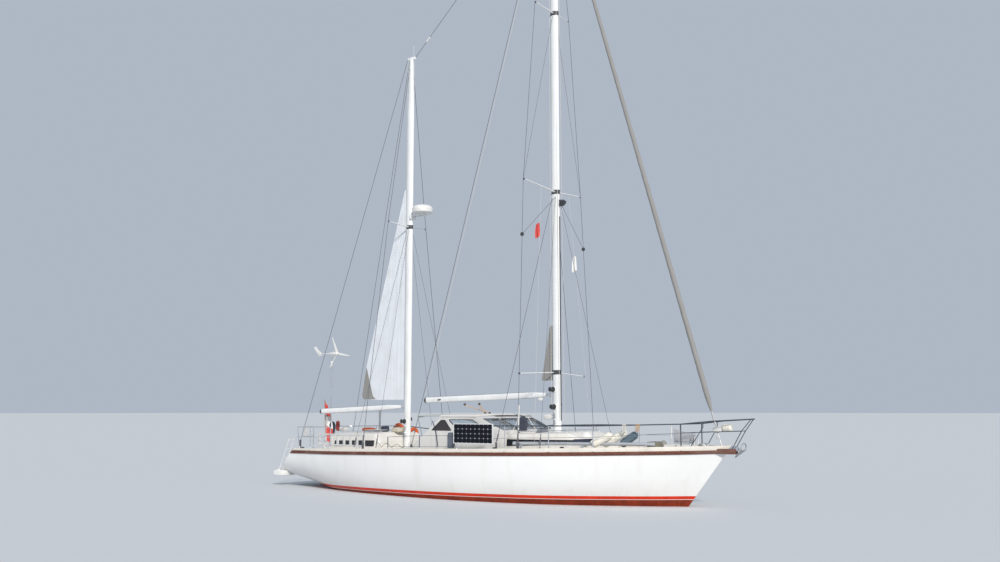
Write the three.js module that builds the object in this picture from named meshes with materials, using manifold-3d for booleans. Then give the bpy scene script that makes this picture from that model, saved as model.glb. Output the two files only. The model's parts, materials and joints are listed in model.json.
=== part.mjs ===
// Sailing yacht with a ketch rig: a centre cockpit under a hard doghouse, two masts with sails
// furled inside them, a furled genoa on the forestay, a fin keel and a rudder on a skeg.
// Millimetres. +X forward, +Y port, +Z up. The origin is on the centreline at the waterline.
import * as THREE from 'three';
import { mergeVertices } from 'three/addons/utils/BufferGeometryUtils.js';
import Module from 'manifold-3d';

const wasm = await Module();
wasm.setup();
const { Manifold, Mesh: SolidMesh } = wasm;

// Driving dimensions
const GAP = 0.4;                 // clearance between pieces that touch
const DECK = 30;                 // deck thickness
const CAMBER = 0.03;             // rise of the deck at its middle, per half beam
const TOE_RAIL = { stern: 60, bow: 100, width: 50 };
const STRAKE = { height: 84, proud: 32 };
const MAIN_MAST = { x: 2100, length: 230, width: 160, foot: 1500, head: 16800 };
const MIZZEN_MAST = { x: -2870, length: 215, width: 140, foot: 1000, head: 12500 };
const MAIN_BOOM = { pivot: 1900, tip: -2260, inner: 2610, outer: 2480, depth: 165, width: 105 };
const MIZZEN_BOOM = { pivot: -3045, tip: -6320, inner: 2310, outer: 2170, depth: 150, width: 95 };
const STAY = 7;                  // radius of a stay
const RAIL = 14;                 // radius of a rail tube
const POST = 13;                 // radius of a stanchion

const COLOURS = {
  hull: [0xf2f2ef, 0.3, 0], gelcoat: [0xe9e2d2, 0.45, 0], strake: [0x7a3f2c, 0.5, 0],
  antifoul: [0x93341b, 0.8, 0], mast: [0xeceae4, 0.35, 0], steel: [0xb8bcc0, 0.3, 1],
  rail: [0x3a4450, 0.4, 0.6], glass: [0x9fb3c4, 0.08, 0], darkGlass: [0x22242a, 0.15, 0],
  canvas: [0x25304a, 0.9, 0], sail: [0xa7a79c, 0.85, 0], sailWhite: [0xd9dee4, 0.8, 0],
  black: [0x1c1e22, 0.6, 0], bronze: [0x9c7a3c, 0.35, 1], iron: [0x6f7478, 0.6, 0.8],
  teak: [0x9a6b43, 0.7, 0], plastic: [0xf0efe9, 0.4, 0], grey: [0xa9adb0, 0.5, 0.2],
  orange: [0xd9481c, 0.7, 0], red: [0xb3261c, 0.8, 0], panel: [0x11151f, 0.15, 0.1],
};

// Hull stations, stern to stem. Each is a plane through its sheer point and its keel point.
// Columns: sheer x, half beam, sheer z, keel x, keel z, power of the bilge, power of the side.
const STATIONS = [
  [-6250, 1150, 1062, -7150, 330, 2.4, 2.4],
  [-5200, 1430, 1078, -5680, 55, 2.4, 2.3],
  [-4200, 1640, 1092, -4420, -300, 2.4, 2.2],
  [-3000, 1830, 1118, -3080, -560, 2.5, 2.2],
  [-1500, 1975, 1150, -1500, -710, 2.7, 2.2],
  [0, 2030, 1180, 0, -750, 2.8, 2.2],
  [1200, 1985, 1204, 1200, -740, 2.6, 2.1],
  [2400, 1845, 1228, 2350, -700, 2.4, 1.9],
  [3500, 1600, 1250, 3350, -640, 2.0, 1.7],
  [4500, 1245, 1272, 4150, -560, 1.7, 1.5],
  [5300, 860, 1288, 4800, -460, 1.5, 1.35],
  [5990, 480, 1303, 5180, -340, 1.35, 1.2],
  [6400, 180, 1313, 5400, -250, 1.2, 1.1],
  [6690, 28, 1320, 5530, -170, 1, 1],
];
const COLUMNS = STATIONS[0].length;
const stationCurve = new THREE.CubicInterpolant(STATIONS.map((_, i) => i), STATIONS.flat(), COLUMNS);

const group = new THREE.Group();

function material(name) {
  const [color, roughness, metalness] = COLOURS[name];
  return new THREE.MeshStandardMaterial({ color, roughness, metalness });
}

function solid(geometry) {
  const bare = geometry.clone();
  bare.deleteAttribute('normal');
  bare.deleteAttribute('uv');
  const merged = mergeVertices(bare, 1e-3);
  const vertProperties = new Float32Array(merged.attributes.position.array);
  const triVerts = new Uint32Array(merged.index.array);
  return new Manifold(new SolidMesh({ numProp: 3, vertProperties, triVerts }));
}

function geometry(body) {
  const mesh = body.getMesh();
  const result = new THREE.BufferGeometry();
  result.setAttribute('position', new THREE.BufferAttribute(new Float32Array(mesh.vertProperties), 3));
  result.setIndex(new THREE.BufferAttribute(new Uint32Array(mesh.triVerts), 1));
  result.computeVertexNormals();
  return result;
}

function join(bodies) {
  return bodies.reduce((all, body) => all.add(body));
}

function addNode(name, body, colour) {
  const shape = body.isBufferGeometry ? body : geometry(body);
  const mesh = new THREE.Mesh(shape, material(colour));
  mesh.name = name;
  group.add(mesh);
}

// Triangles over a flat ring, seen along its thinnest direction. A convex ring whose points
// partly lie in a line is fanned from its first point off that line.
function endFaces(ring) {
  const values = [0, 1, 2].map((k) => ring.map((point) => point[k]));
  const spans = values.map((list) => Math.max(...list) - Math.min(...list));
  const flat = spans.indexOf(Math.min(...spans));
  const [u, v] = [(flat + 1) % 3, (flat + 2) % 3];
  const outline = ring.map((p) => new THREE.Vector2(p[u], p[v]));
  const faces = THREE.ShapeUtils.triangulateShape(outline, []);
  const whole = THREE.ShapeUtils.area(outline);
  const sameTurn = (face) => THREE.ShapeUtils.area(face.map((i) => outline[i])) * whole > 0;
  if (faces.length === ring.length - 2) {
    return faces.map((face) => (sameTurn(face) ? face : face.toReversed()));
  }
  const apex = ring.length - 3;
  return ring.map((_, i) => [apex, (apex + i) % ring.length, (apex + i + 1) % ring.length]).slice(1, -1);
}

// A closed solid from rings of points with the same count, ordered anticlockwise about the run.
function loft(rings) {
  const count = rings[0].length;
  const position = rings.flat(2);
  const index = [];
  for (let ring = 0; ring < rings.length - 1; ring += 1) {
    for (let i = 0; i < count; i += 1) {
      const next = (i + 1) % count;
      const a = ring * count + i;
      const b = ring * count + next;
      index.push(a, b, b + count, a, b + count, a + count);
    }
  }
  const last = (rings.length - 1) * count;
  endFaces(rings[0]).forEach(([a, b, c]) => index.push(c, b, a));
  endFaces(rings.at(-1)).forEach(([a, b, c]) => index.push(last + a, last + b, last + c));
  const result = new THREE.BufferGeometry();
  result.setAttribute('position', new THREE.Float32BufferAttribute(position, 3));
  result.setIndex(index);
  const body = solid(result);
  return body.volume() < 0 ? flipped(result) : body;
}

function flipped(shape) {
  const index = Array.from(shape.index.array);
  for (let i = 0; i < index.length; i += 3) {
    [index[i], index[i + 1]] = [index[i + 1], index[i]];
  }
  shape.setIndex(index);
  return solid(shape);
}

function box(low, high) {
  const size = high.map((value, k) => value - low[k]);
  const shape = new THREE.BoxGeometry(...size);
  shape.translate(...high.map((value, k) => (value + low[k]) / 2));
  return solid(shape);
}

// A straight rod between two points, its radius at each end, with an optional flattening.
function rod(from, to, radius, endRadius = radius, sides = 10) {
  const a = new THREE.Vector3(...from);
  const b = new THREE.Vector3(...to);
  const shape = new THREE.CylinderGeometry(endRadius, radius, a.distanceTo(b), sides);
  const along = b.clone().sub(a).normalize();
  shape.applyQuaternion(new THREE.Quaternion().setFromUnitVectors(new THREE.Vector3(0, 1, 0), along));
  shape.translate(...a.add(b).multiplyScalar(0.5).toArray());
  return solid(shape);
}

// A round body about the line between two points. Profile rows: fraction of the way, radius.
function turned(from, to, profile, sides = 12) {
  const a = new THREE.Vector3(...from);
  const along = new THREE.Vector3(...to).sub(a);
  const up = new THREE.Vector3(0, 0, 1);
  const turn = new THREE.Quaternion().setFromUnitVectors(up, along.clone().normalize());
  return loft(profile.map(([f, radius]) => Array.from({ length: sides }, (_, i) => {
    const angle = (i / sides) * 2 * Math.PI;
    const point = new THREE.Vector3(radius * Math.cos(angle), radius * Math.sin(angle), f * along.length());
    return point.applyQuaternion(turn).add(a).toArray();
  })));
}

// The largest piece of a body that a cut has parted.
function mainPiece(body) {
  return body.decompose().sort((a, b) => b.volume() - a.volume())[0];
}

// Rods from point to point with a ball at each corner.
function bentRod(points, radius, sides = 6) {
  const pieces = [];
  points.forEach((point, i) => {
    if (i > 0) pieces.push(rod(points[i - 1], point, radius, radius, sides));
    if (i > 0 && i < points.length - 1) {
      const ball = new THREE.SphereGeometry(radius * 1.02, 6, 4);
      ball.translate(...point);
      pieces.push(solid(ball));
    }
  });
  return join(pieces);
}

// An outline in the plane of x and z, thick from y low to y high.
function sidePlate(outline, low, high) {
  return loft([low, high].map((y) => outline.map(([x, z]) => [x, y, z])));
}

// An outline in the plane of x and y, thick from z low to z high.
function flatPlate(outline, low, high) {
  return loft([low, high].map((z) => outline.map(([x, y]) => [x, y, z])));
}

function mirrored(body) {
  return body.mirror([0, 1, 0]);
}

// Hull form

function station(t) {
  return Array.from(stationCurve.evaluate(t));
}

const LAST = STATIONS.length - 1;
const stationSteps = Array.from({ length: 2 * LAST + 1 }, (_, i) => i / 2);

// Half beam and sheer height of the deck edge at x.
function deckEdge(x) {
  let low = 0;
  let high = LAST;
  for (let i = 0; i < 30; i += 1) {
    const middle = (low + high) / 2;
    if (station(middle)[0] < x) low = middle;
    else high = middle;
  }
  const [, beam, sheer] = station(low);
  return { beam, sheer };
}

// Height of the toe rail over the sheer at x.
function toeRail(x) {
  const [sternX, bowX] = [STATIONS[0][0], STATIONS[LAST][0]];
  return THREE.MathUtils.mapLinear(x, sternX, bowX, TOE_RAIL.stern, TOE_RAIL.bow);
}

// A ring of the hull: rake moves its points along x with height, as the stem and transom lean.
function ringPoint(row, y, z) {
  const [sheerX, , sheer, keelX, keelZ] = row;
  return [sheerX + ((z - sheer) * (sheerX - keelX)) / (sheer - keelZ), y, z];
}

const SIDE_POINTS = 9;
const CAMBER_POINTS = [0.7, 0.25, -0.25, -0.7];

const UNDER_DECK = -DECK - GAP;

function hullSolid(grow = 0, top = UNDER_DECK) {
  return loft(stationSteps.map((t) => {
    const row = station(t);
    const [, beam, sheer, , keelZ, bilge, side] = row;
    const half = beam + grow;
    const depth = sheer - keelZ + grow;
    const starboard = Array.from({ length: SIDE_POINTS }, (_, i) => {
      const drop = Math.sin((i / (SIDE_POINTS - 1)) * Math.PI / 2);
      return [half * (1 - drop ** bilge) ** (1 / side), sheer - depth * drop];
    });
    starboard[0][1] = sheer + UNDER_DECK;
    if (top > UNDER_DECK) starboard.unshift([half, sheer + top]);
    const port = starboard.slice(0, -1).reverse().map(([y, z]) => [y, z]);
    const camber = CAMBER_POINTS.map((f) => [half * f, sheer + top + CAMBER * beam * (1 - f * f)]);
    const ring = [...starboard.map(([y, z]) => [-y, z]), ...port, ...camber];
    return ring.map(([y, z]) => ringPoint(row, y, z));
  }));
}

// The deck with its toe rail in one section, and the rail's piece across the stern.
function deckSolid() {
  const slab = loft(stationSteps.map((t) => {
    const row = station(t);
    const [x, beam, sheer] = row;
    const inner = Math.max(beam - TOE_RAIL.width, beam * 0.4);
    const high = sheer + toeRail(x);
    const rise = (y) => sheer + CAMBER * beam * (1 - (y / beam) ** 2);
    const rail = [[beam, sheer - DECK], [beam, high], [inner, high], [inner, rise(inner)]];
    const top = CAMBER_POINTS.map((f) => [inner * f, rise(inner * f)]);
    const under = CAMBER_POINTS.toReversed().map((f) => [beam * f, rise(beam * f) - DECK]);
    const otherRail = rail.toReversed().map(([y, z]) => [-y, z]);
    return [...rail, ...top, ...otherRail, ...under].map(([y, z]) => ringPoint(row, y, z));
  }));
  const sternRow = STATIONS[0];
  const [, sternBeam, sternZ] = sternRow;
  const high = sternZ + TOE_RAIL.stern - 3;
  const across = loft([-1, ...CAMBER_POINTS.toReversed(), 1].map((f) => {
    const low = sternZ + CAMBER * sternBeam * (1 - f * f) - DECK / 2;
    const square = [[3, low], [3, high], [TOE_RAIL.width, high], [TOE_RAIL.width, low]];
    return square.map(([inward, z]) => {
      const [x, y] = ringPoint(sternRow, f * (sternBeam - TOE_RAIL.width / 2), z);
      return [x + inward, y, z];
    });
  }));
  return slab.add(across);
}

const COCKPIT = {
  aft: -1380, front: 640, seat: 1010, sole: 600, half: 950, footHalf: 360, footAft: -1180, footFront: 520,
};

function cockpitWell() {
  const { aft, front, seat, sole, half, footHalf, footAft, footFront } = COCKPIT;
  const top = 1400;
  return join([
    box([aft, -half, seat], [front, half, top]),
    box([footAft, -footHalf, sole], [front, footHalf, top]),
    box([footAft + 60, -footHalf + 40, -330], [footFront - 160, footHalf - 40, sole + 10]),
  ]);
}

const wholeHull = hullSolid();
const wholeDeck = deckSolid();
const well = cockpitWell();
const grownHull = hullSolid(GAP, 0);
const deckBase = grownHull.add(wholeDeck).translate([0, 0, GAP]);

function onDeck(body) {
  return body.subtract(deckBase);
}

const NICHE = { low: [560, -290, 700], high: [1120, 290, 1470] };
const niche = box(NICHE.low, NICHE.high);

// Hull and deck are each in pieces that meet at planes: ahead of the cockpit and companionway,
// aft of them, at either side, and the core that holds the seats, footwell and engine space.
const SPLIT = { aft: COCKPIT.aft, front: NICHE.high[0], side: COCKPIT.half };
const FAR = 9000;

function slice(body, [lowX, highX], [lowY, highY]) {
  const half = GAP / 2;
  return body.intersect(box([lowX + half, lowY + half, -FAR], [highX - half, highY - half, FAR]));
}

const openHull = wholeHull.subtract(well).subtract(niche);
const openDeck = wholeDeck.subtract(well).subtract(niche);
const amidships = [SPLIT.aft, SPLIT.front];

addNode('hull_fore', slice(openHull, [SPLIT.front, FAR], [-FAR, FAR]), 'hull');
addNode('hull_core', slice(openHull, amidships, [-SPLIT.side, SPLIT.side]), 'hull');
addNode('hull_side_port', slice(openHull, amidships, [SPLIT.side, FAR]), 'hull');
addNode('hull_side_starboard', slice(openHull, amidships, [-FAR, -SPLIT.side]), 'hull');
addNode('deck_fore', slice(openDeck, [SPLIT.front, FAR], [-FAR, FAR]), 'gelcoat');
addNode('deck_aft', slice(openDeck, [-FAR, SPLIT.aft], [-FAR, FAR]), 'gelcoat');
addNode('side_deck_port', slice(openDeck, amidships, [0, FAR]), 'gelcoat');
addNode('side_deck_starboard', slice(openDeck, amidships, [-FAR, 0]), 'gelcoat');

// Swim step moulded on the transom, with a slot and two lugs for the ladder that folds down
// through it.

const LADDER = { foot: [-7110, 455], top: [-6710, 1380], y: [-860, -660], tube: 13 };
const STEP = { low: [-7190, -1015, 300], high: [-6780, -525, 450], lug: 44, play: 6 };

function swimStep() {
  const { foot, y, tube } = LADDER;
  const reach = tube + STEP.play;
  const [inner, outer] = [y[1] + reach, y[0] - reach];
  const slot = box([STEP.low[0] - 10, outer, STEP.low[2] - 10], [foot[0] + 25, inner, STEP.high[2] + 10]);
  const lugs = [[outer - STEP.lug, outer], [inner, inner + STEP.lug]].map(([low, high]) => {
    return box([foot[0] - 20, low, STEP.low[2] + 60], [foot[0] + 70, high, foot[1] + 22]);
  });
  return join([box(STEP.low, STEP.high).subtract(slot), ...lugs]);
}
addNode('hull_aft', slice(openHull, [-FAR, SPLIT.aft], [-FAR, FAR]).add(swimStep()), 'hull');

// Rub strakes and bow platform

const STRAKE_ENDS = [0.02, 12.9];

function strake() {
  const { height, proud } = STRAKE;
  const between = stationSteps.filter((t) => t > STRAKE_ENDS[0] && t < STRAKE_ENDS[1]);
  return loft([STRAKE_ENDS[0], ...between, STRAKE_ENDS[1]].map((t) => {
    const row = station(t);
    const [, beam, sheer] = row;
    const inner = beam + 3;
    const out = beam + proud;
    const low = sheer - height - 4;
    const high = sheer - 4;
    const face = [[out - 8, low], [out, low + 14], [out, high - 14], [out - 8, high]];
    return [[inner, low], ...face, [inner, high]].map(([y, z]) => ringPoint(row, y, z));
  }));
}

function bowPlatform() {
  const port = [[6400, 150], [6720, 150], [6870, 112]];
  const starboard = port.map(([x, y]) => [x, -y]);
  const plank = flatPlate([...starboard, ...port.toReversed()], 1226, 1345);
  return plank.subtract(hullSolid(STRAKE.proud + 6, TOE_RAIL.bow).translate([1, 0, 0]));
}

addNode('rub_strake_port', strake(), 'strake');
addNode('rub_strake_starboard', mirrored(strake()), 'strake');
addNode('bow_platform', mainPiece(bowPlatform()), 'strake');

// Underwater gear: keel, skeg, rudder, drive leg, propeller and engine

// Foil outline as fractions of the chord and of the half thickness.
const FOIL = [[0, 0], [0.03, 0.45], [0.12, 0.8], [0.3, 1], [0.6, 0.75], [0.85, 0.35], [1, 0.08]];

// A foil section at height z, its nose at x and its chord running aft.
function foilRing(nose, chord, half, z) {
  const port = FOIL.map(([f, h]) => [nose - chord * f, half * h, z]);
  const starboard = port.slice(1).reverse().map(([x, y]) => [x, -y, z]);
  return [...port, ...starboard];
}

// Each foil's columns: nose x, chord, half thickness, z. The first row is inside the hull.
const KEEL = [
  [1750, 3800, 190, -500],
  [1450, 3250, 165, -1350],
  [1250, 2950, 185, -1860],
  [1180, 2850, 150, -1980],
];
const SKEG = [[-3900, 820, 70, -150], [-4240, 470, 55, -900], [-4380, 330, 42, -1480]];
const RUDDER = [[-4735, 640, 52, -330], [-4735, 560, 48, -1000], [-4735, 440, 40, -1600]];
const LEG = { x: -2360, chord: 330, z: -1020, nose: -2200, tail: -2740 };
const PROPELLER = { x: -2810, z: -1020, radius: 280, blades: 3 };

function foil(rows) {
  return loft(rows.map((row) => foilRing(...row)));
}

addNode('keel', mainPiece(foil(KEEL).subtract(grownHull)), 'antifoul');
addNode('skeg', mainPiece(foil(SKEG).subtract(grownHull)), 'antifoul');

function rudder() {
  const blade = foil(RUDDER);
  const stock = rod([-4775, 0, -380], [-4775, 0, -272], 32);
  return blade.add(stock);
}
addNode('rudder', rudder(), 'antifoul');

function driveLeg() {
  const { x, chord, z, nose, tail } = LEG;
  const strut = foil([[x, chord, 45, -400], [x, chord, 45, z]]);
  const cone = rod([nose, 0, z], [nose - 160, 0, z], 25, 75, 12);
  const pod = rod([nose - 160, 0, z], [tail, 0, z], 75, 60, 12);
  return mainPiece(join([strut, cone, pod]).subtract(grownHull));
}
addNode('drive_leg', driveLeg(), 'antifoul');

// A twisted blade standing up from the x axis, with a lens for its section.
// Rows from root to tip: radius, half chord, pitch angle from the disc in degrees.
function blade(rows, halfThick) {
  const lens = (half) => [[half, 0], [0, halfThick], [-half, 0], [0, -halfThick]];
  return loft(rows.map(([radius, half, pitch]) => {
    const a = THREE.MathUtils.degToRad(pitch);
    const [sin, cos] = [Math.sin(a), Math.cos(a)];
    return lens(half).map(([c, t]) => [c * sin - t * cos, c * cos + t * sin, radius]);
  }));
}

// Blades spread evenly about an axis along x, the first one turned by an angle.
function bladeWheel([x, y, z], count, shape, firstAngle = 0) {
  return Array.from({ length: count }, (_, i) => {
    const angle = firstAngle + (360 / count) * i;
    return shape.rotate([angle, 0, 0]).translate([x, y, z]);
  });
}

function propeller() {
  const { x, z, radius, blades } = PROPELLER;
  const hub = rod([x + 60, 0, z], [x - 70, 0, z], 58, 34, 12);
  const shape = blade([[40, 40, 55], [150, 85, 34], [240, 70, 26], [radius, 28, 22]], 7);
  return join([hub, ...bladeWheel([x, 0, z], blades, shape)]);
}
addNode('propeller', propeller(), 'bronze');

const ENGINE = { low: [-1010, -250, -329], high: [60, 250, 330] };
addNode('engine', box(ENGINE.low, ENGINE.high), 'iron');

// Cockpit: sole, companionway door, helm

const DOOR = { x: 612, thick: 22, half: 285, low: 690, high: 1480 };
const WHEEL = { x: 470, y: 620, z: 1370, radius: 290 };

function cockpitSole() {
  const { sole, footHalf, footAft, footFront } = COCKPIT;
  return box([footAft + 5, -footHalf + 5, sole + GAP], [footFront - 5, footHalf - 5, sole + 26]);
}
addNode('cockpit_sole', cockpitSole(), 'teak');

function companionDoor() {
  const { x, thick, half, low, high } = DOOR;
  return box([x - thick, -half, low], [x, half, high]);
}
addNode('companion_door', companionDoor(), 'teak');

function helmWheel() {
  const { x, y, z, radius } = WHEEL;
  const rim = new THREE.TorusGeometry(radius, 14, 6, 28);
  rim.rotateY(Math.PI / 2);
  rim.translate(x, y, z);
  const spokes = Array.from({ length: 5 }, (_, i) => {
    const a = (i / 5) * 2 * Math.PI + Math.PI / 2;
    return rod([x, y, z], [x, y + radius * Math.cos(a), z + radius * Math.sin(a)], 9);
  });
  return join([solid(rim), ...spokes, rod([x - 30, y, z], [x + 55, y, z], 45, 40, 14)]);
}
addNode('helm_wheel', helmWheel(), 'steel');

// Coachroof ahead of the cockpit, and the trunk of the aft cabin.
// Columns: x, half width at the deck, half width at the top, top z.

const COACHROOF = [
  [640, 1190, 1150, 1600],
  [1330, 1190, 1140, 1615],
  [1600, 1180, 1120, 1622],
  [2400, 1080, 1000, 1645],
  [2950, 930, 850, 1655],
  [3480, 700, 640, 1400],
];
const AFT_TRUNK = [
  [-5150, 780, 700, 1500],
  [-4900, 820, 740, 1540],
  [-3250, 1010, 930, 1560],
  [-3060, 1010, 930, 1330],
];

function trunk(rows) {
  const rings = rows.map(([x, low, high, z]) => {
    const port = [[low, 1080], [(low + high) / 2, z - 45], [high, z], [high * 0.5, z + 28]];
    const starboard = port.toReversed().map(([y, h]) => [-y, h]);
    return [...port, [0, z + 38], ...starboard].map(([y, h]) => [x, y, h]);
  });
  return onDeck(loft(rings));
}

const coachroofSolid = trunk(COACHROOF);
const hatchCoaming = box([1425, -690, 1560], [1790, -285, 1668]);
const hatchWell = box([1450, -665, 1560], [1765, -310, 1720]);

// The housing of the steering gear, on the coachroof's aft face.
function helmBox() {
  const { x, y, z } = WHEEL;
  return box([x + 62, y - 130, z - 110], [COCKPIT.front + 20, y + 130, z + 110]);
}

const coachroofBody = join([coachroofSolid, hatchCoaming, helmBox()]);
addNode('coachroof', coachroofBody.subtract(niche).subtract(hatchWell), 'gelcoat');
addNode('aft_trunk', mainPiece(trunk(AFT_TRUNK)), 'gelcoat');

// Doghouse: side walls with windows, a raked windscreen and a hard top over the cockpit

const DOGHOUSE = {
  half: 1240, wall: 40, aft: -1620, roofAft: -690, roofFront: 480, screenFoot: 1290, footZ: 1690, roofZ: 2045,
};
const QUARTER_WINDOW = [[-1000, 1690], [-680, 1955], [-545, 1955], [-330, 1690]];
const SIDE_WINDOW = [[-440, 1975], [330, 1975], [780, 1745], [780, 1700], [-130, 1700]];
const SCREEN_PANES = [[-1130, -430], [-370, 370], [430, 1130]];

function doghouseShell() {
  const { half, wall, aft, roofAft, roofFront, screenFoot, footZ, roofZ } = DOGHOUSE;
  const outline = [
    [aft, 1120], [aft, 1290], [roofAft, roofZ],
    [roofFront, roofZ], [screenFoot, footZ], [screenFoot + 30, 1120],
  ];
  const side = sidePlate(outline, -half, -half + wall);
  const windows = [QUARTER_WINDOW, SIDE_WINDOW].map((shape) => sidePlate(shape, -half - 9, -half + wall + 9));
  const wallCut = side.subtract(windows[0]).subtract(windows[1]);
  const rake = (screenFoot - roofFront) / (roofZ - footZ);
  const frame = sidePlate([
    [roofFront - 60, roofZ], [roofFront, roofZ], [screenFoot, footZ], [screenFoot, footZ - 90],
    [screenFoot - 60, footZ - 90], [screenFoot - 60, footZ + 10],
  ], -half + 1, half - 1);
  const panes = SCREEN_PANES.map(([low, high]) => sidePlate([
    [roofFront - 120 + rake * 55, roofZ - 55], [roofFront + 90 + rake * 55, roofZ - 55],
    [screenFoot + 90 - rake * 50, footZ + 50], [screenFoot - 130 - rake * 50, footZ + 50],
  ], low, high));
  const screen = panes.reduce((body, pane) => body.subtract(pane), frame);
  return join([wallCut, mirrored(wallCut), screen]).subtract(coachroofSolid.translate([0, 0, GAP]));
}
const doghouseSolid = mainPiece(onDeck(doghouseShell()));
addNode('doghouse', doghouseSolid, 'gelcoat');

const ROOF_CROWN = 35;

function hardtop() {
  const { half, roofAft, roofFront, roofZ } = DOGHOUSE;
  const rings = [roofAft - 20, roofAft + 60, roofFront - 90, roofFront - 5].map((x, i) => {
    const inset = i % 3 === 0 ? 12 : 0;
    const across = [-1, -0.5, 0, 0.5, 1];
    const at = (f, high) => [x, f * (half + 20 - inset), roofZ + high + ROOF_CROWN * (1 - f * f)];
    return [...across.map((f) => at(f, 40 - inset)), ...across.toReversed().map((f) => at(f, GAP))];
  });
  return loft(rings).subtract(box([-3000, -3000, 0], [3000, 3000, roofZ + GAP]));
}
addNode('hardtop', hardtop(), 'gelcoat');

function windscreenGlass() {
  const { half, wall, roofFront, screenFoot, footZ, roofZ } = DOGHOUSE;
  const slope = Math.atan2(roofZ - footZ, screenFoot - roofFront);
  const [dx, dz] = [Math.sin(slope), Math.cos(slope)];
  const length = Math.hypot(roofZ - footZ, screenFoot - roofFront);
  const at = (along, under) => [roofFront + dz * along - dx * under, roofZ - dx * along - dz * under];
  const outline = [at(15, 28), at(length - 90, 28), at(length - 90, 36), at(15, 36)];
  return sidePlate(outline, -half + wall + 4, half - wall - 4);
}
addNode('windscreen_glass', windscreenGlass(), 'glass');

const AWNING = { aft: -1640, half: 1080, z: 2060 };

function awning() {
  const { aft, half, z } = AWNING;
  const across = [-1, -0.5, 0, 0.5, 1];
  return loft([[aft, z], [DOGHOUSE.roofAft - 26, z + 10]].map(([x, high]) => {
    const at = (f, drop) => [x, f * half, high - drop + 40 * (1 - f * f)];
    return [...across.map((f) => at(f, 0)), ...across.toReversed().map((f) => at(f, 14))];
  }));
}
addNode('aft_awning', awning(), 'sail');

function awningFrame() {
  const { aft, half, z } = AWNING;
  const foot = [-1330, half + 140, 1500];
  const corner = [aft + 30, half - 20, z - 34];
  const across = (f) => [aft + 30, f * (half - 20), z - 32 + 40 * (1 - f * f)];
  const points = [-0.5, 0, 0.5].map(across);
  const port = [foot, corner];
  const starboard = port.map(([x, y, h]) => [x, -y, h]).reverse();
  const bow = bentRod([...port, ...points.reverse(), ...starboard], 12);
  return bow.subtract(doghouseSolid.translate([0, 0, GAP]));
}
addNode('awning_frame', mainPiece(awningFrame()), 'steel');

// Masts, spreaders and booms

// An oval ring at height z.
function ovalRing(x, length, width, z, count = 14) {
  return Array.from({ length: count }, (_, i) => {
    const a = (i / count) * 2 * Math.PI;
    return [x + (length / 2) * Math.cos(a), (width / 2) * Math.sin(a), z];
  });
}

// Spreaders. Columns: mast x, root z, tip half span, tip z, sweep aft, root radius, tip radius.
const MAIN_SPREADERS = [
  [2100, 7850, 1376, 7970, 80, 34, 20],
  [2100, 12700, 822, 12780, 70, 28, 18],
  [2050, 3170, 1560, 3105, 60, 20, 20],
];
const MIZZEN_SPREADERS = [[-2870, 7440, 816, 7510, 90, 28, 17]];

function spreader([x, rootZ, half, tipZ, sweep, rootR, tipR]) {
  const arm = (side) => rod([x, 0, rootZ], [x - sweep, side * half, tipZ], rootR, tipR, 8);
  return arm(-1).add(arm(1));
}

function gooseneck({ pivot, inner }, mast) {
  const face = mast.x - mast.length / 2 + 20;
  const plates = [[-62, -40], [40, 62]];
  return join(plates.map(([low, high]) => box([pivot - 26, -26, inner + low], [face, 26, inner + high])));
}

function mastTube({ x, length, width, foot, head }, taper) {
  const rows = [[foot, 1], [head - taper, 1], [head, 0.62]];
  return loft(rows.map(([z, f]) => ovalRing(x, length * f, width * f, z)));
}

function mainMast() {
  const { x, head } = MAIN_MAST;
  const crane = box([x - 190, -34, head - 70], [x + 130, 34, head + 24]);
  const arms = MAIN_SPREADERS.map(spreader);
  const tube = mastTube(MAIN_MAST, 2600);
  const body = join([tube, crane, ...arms, gooseneck(MAIN_BOOM, MAIN_MAST)]);
  return mainPiece(body.subtract(coachroofSolid.translate([0, 0, GAP])).subtract(deckBase));
}
addNode('main_mast', mainMast(), 'mast');

function mizzenMast() {
  const { x, head } = MIZZEN_MAST;
  const crane = box([x - 130, -28, head - 60], [x + 150, 28, head + 18]);
  const arms = MIZZEN_SPREADERS.map(spreader);
  const tube = mastTube(MIZZEN_MAST, 1800);
  const body = join([tube, crane, ...arms, gooseneck(MIZZEN_BOOM, MIZZEN_MAST)]);
  return mainPiece(onDeck(body));
}
addNode('mizzen_mast', mizzenMast(), 'mast');

// A boom of rounded box section, its inner end tapered to the tongue that turns in the gooseneck.
function boom({ pivot, tip, inner, outer, depth, width }) {
  const slope = (inner - outer) / (pivot - tip);
  const axisZ = (x) => inner + (x - pivot) * slope;
  // Along the boom: x, and the shares of its full depth and width.
  const stations = [
    [tip, 0.55, 0.6], [tip + 60, 0.95, 1], [tip + 160, 1, 1],
    [pivot - 620, 1, 1], [pivot - 120, 0.55, 0.6], [pivot - 60, 0.35, 0.4],
  ];
  const corner = [[0.5, 0.3], [0.3, 0.5]];
  const quarter = (f, g) => corner.map(([u, v]) => [u * f, v * g]);
  const section = [
    ...quarter(1, 1), ...quarter(-1, 1).reverse(), ...quarter(-1, -1), ...quarter(1, -1).reverse(),
  ];
  const spar = loft(stations.map(([x, d, w]) => {
    return section.map(([f, g]) => [x, f * width * w, axisZ(x) + g * depth * d]);
  }));
  const tongue = rod([pivot, 0, inner - 32], [pivot, 0, inner + 32], 20, 20, 12);
  return join([spar, tongue, box([pivot - 90, -14, inner - 26], [pivot, 14, inner + 26])]);
}
addNode('main_boom', boom(MAIN_BOOM), 'mast');
addNode('mizzen_boom', boom(MIZZEN_BOOM), 'mast');

// Sails as they show: the clew of the furled mainsail, and the part of the mizzen left unrolled

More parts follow.
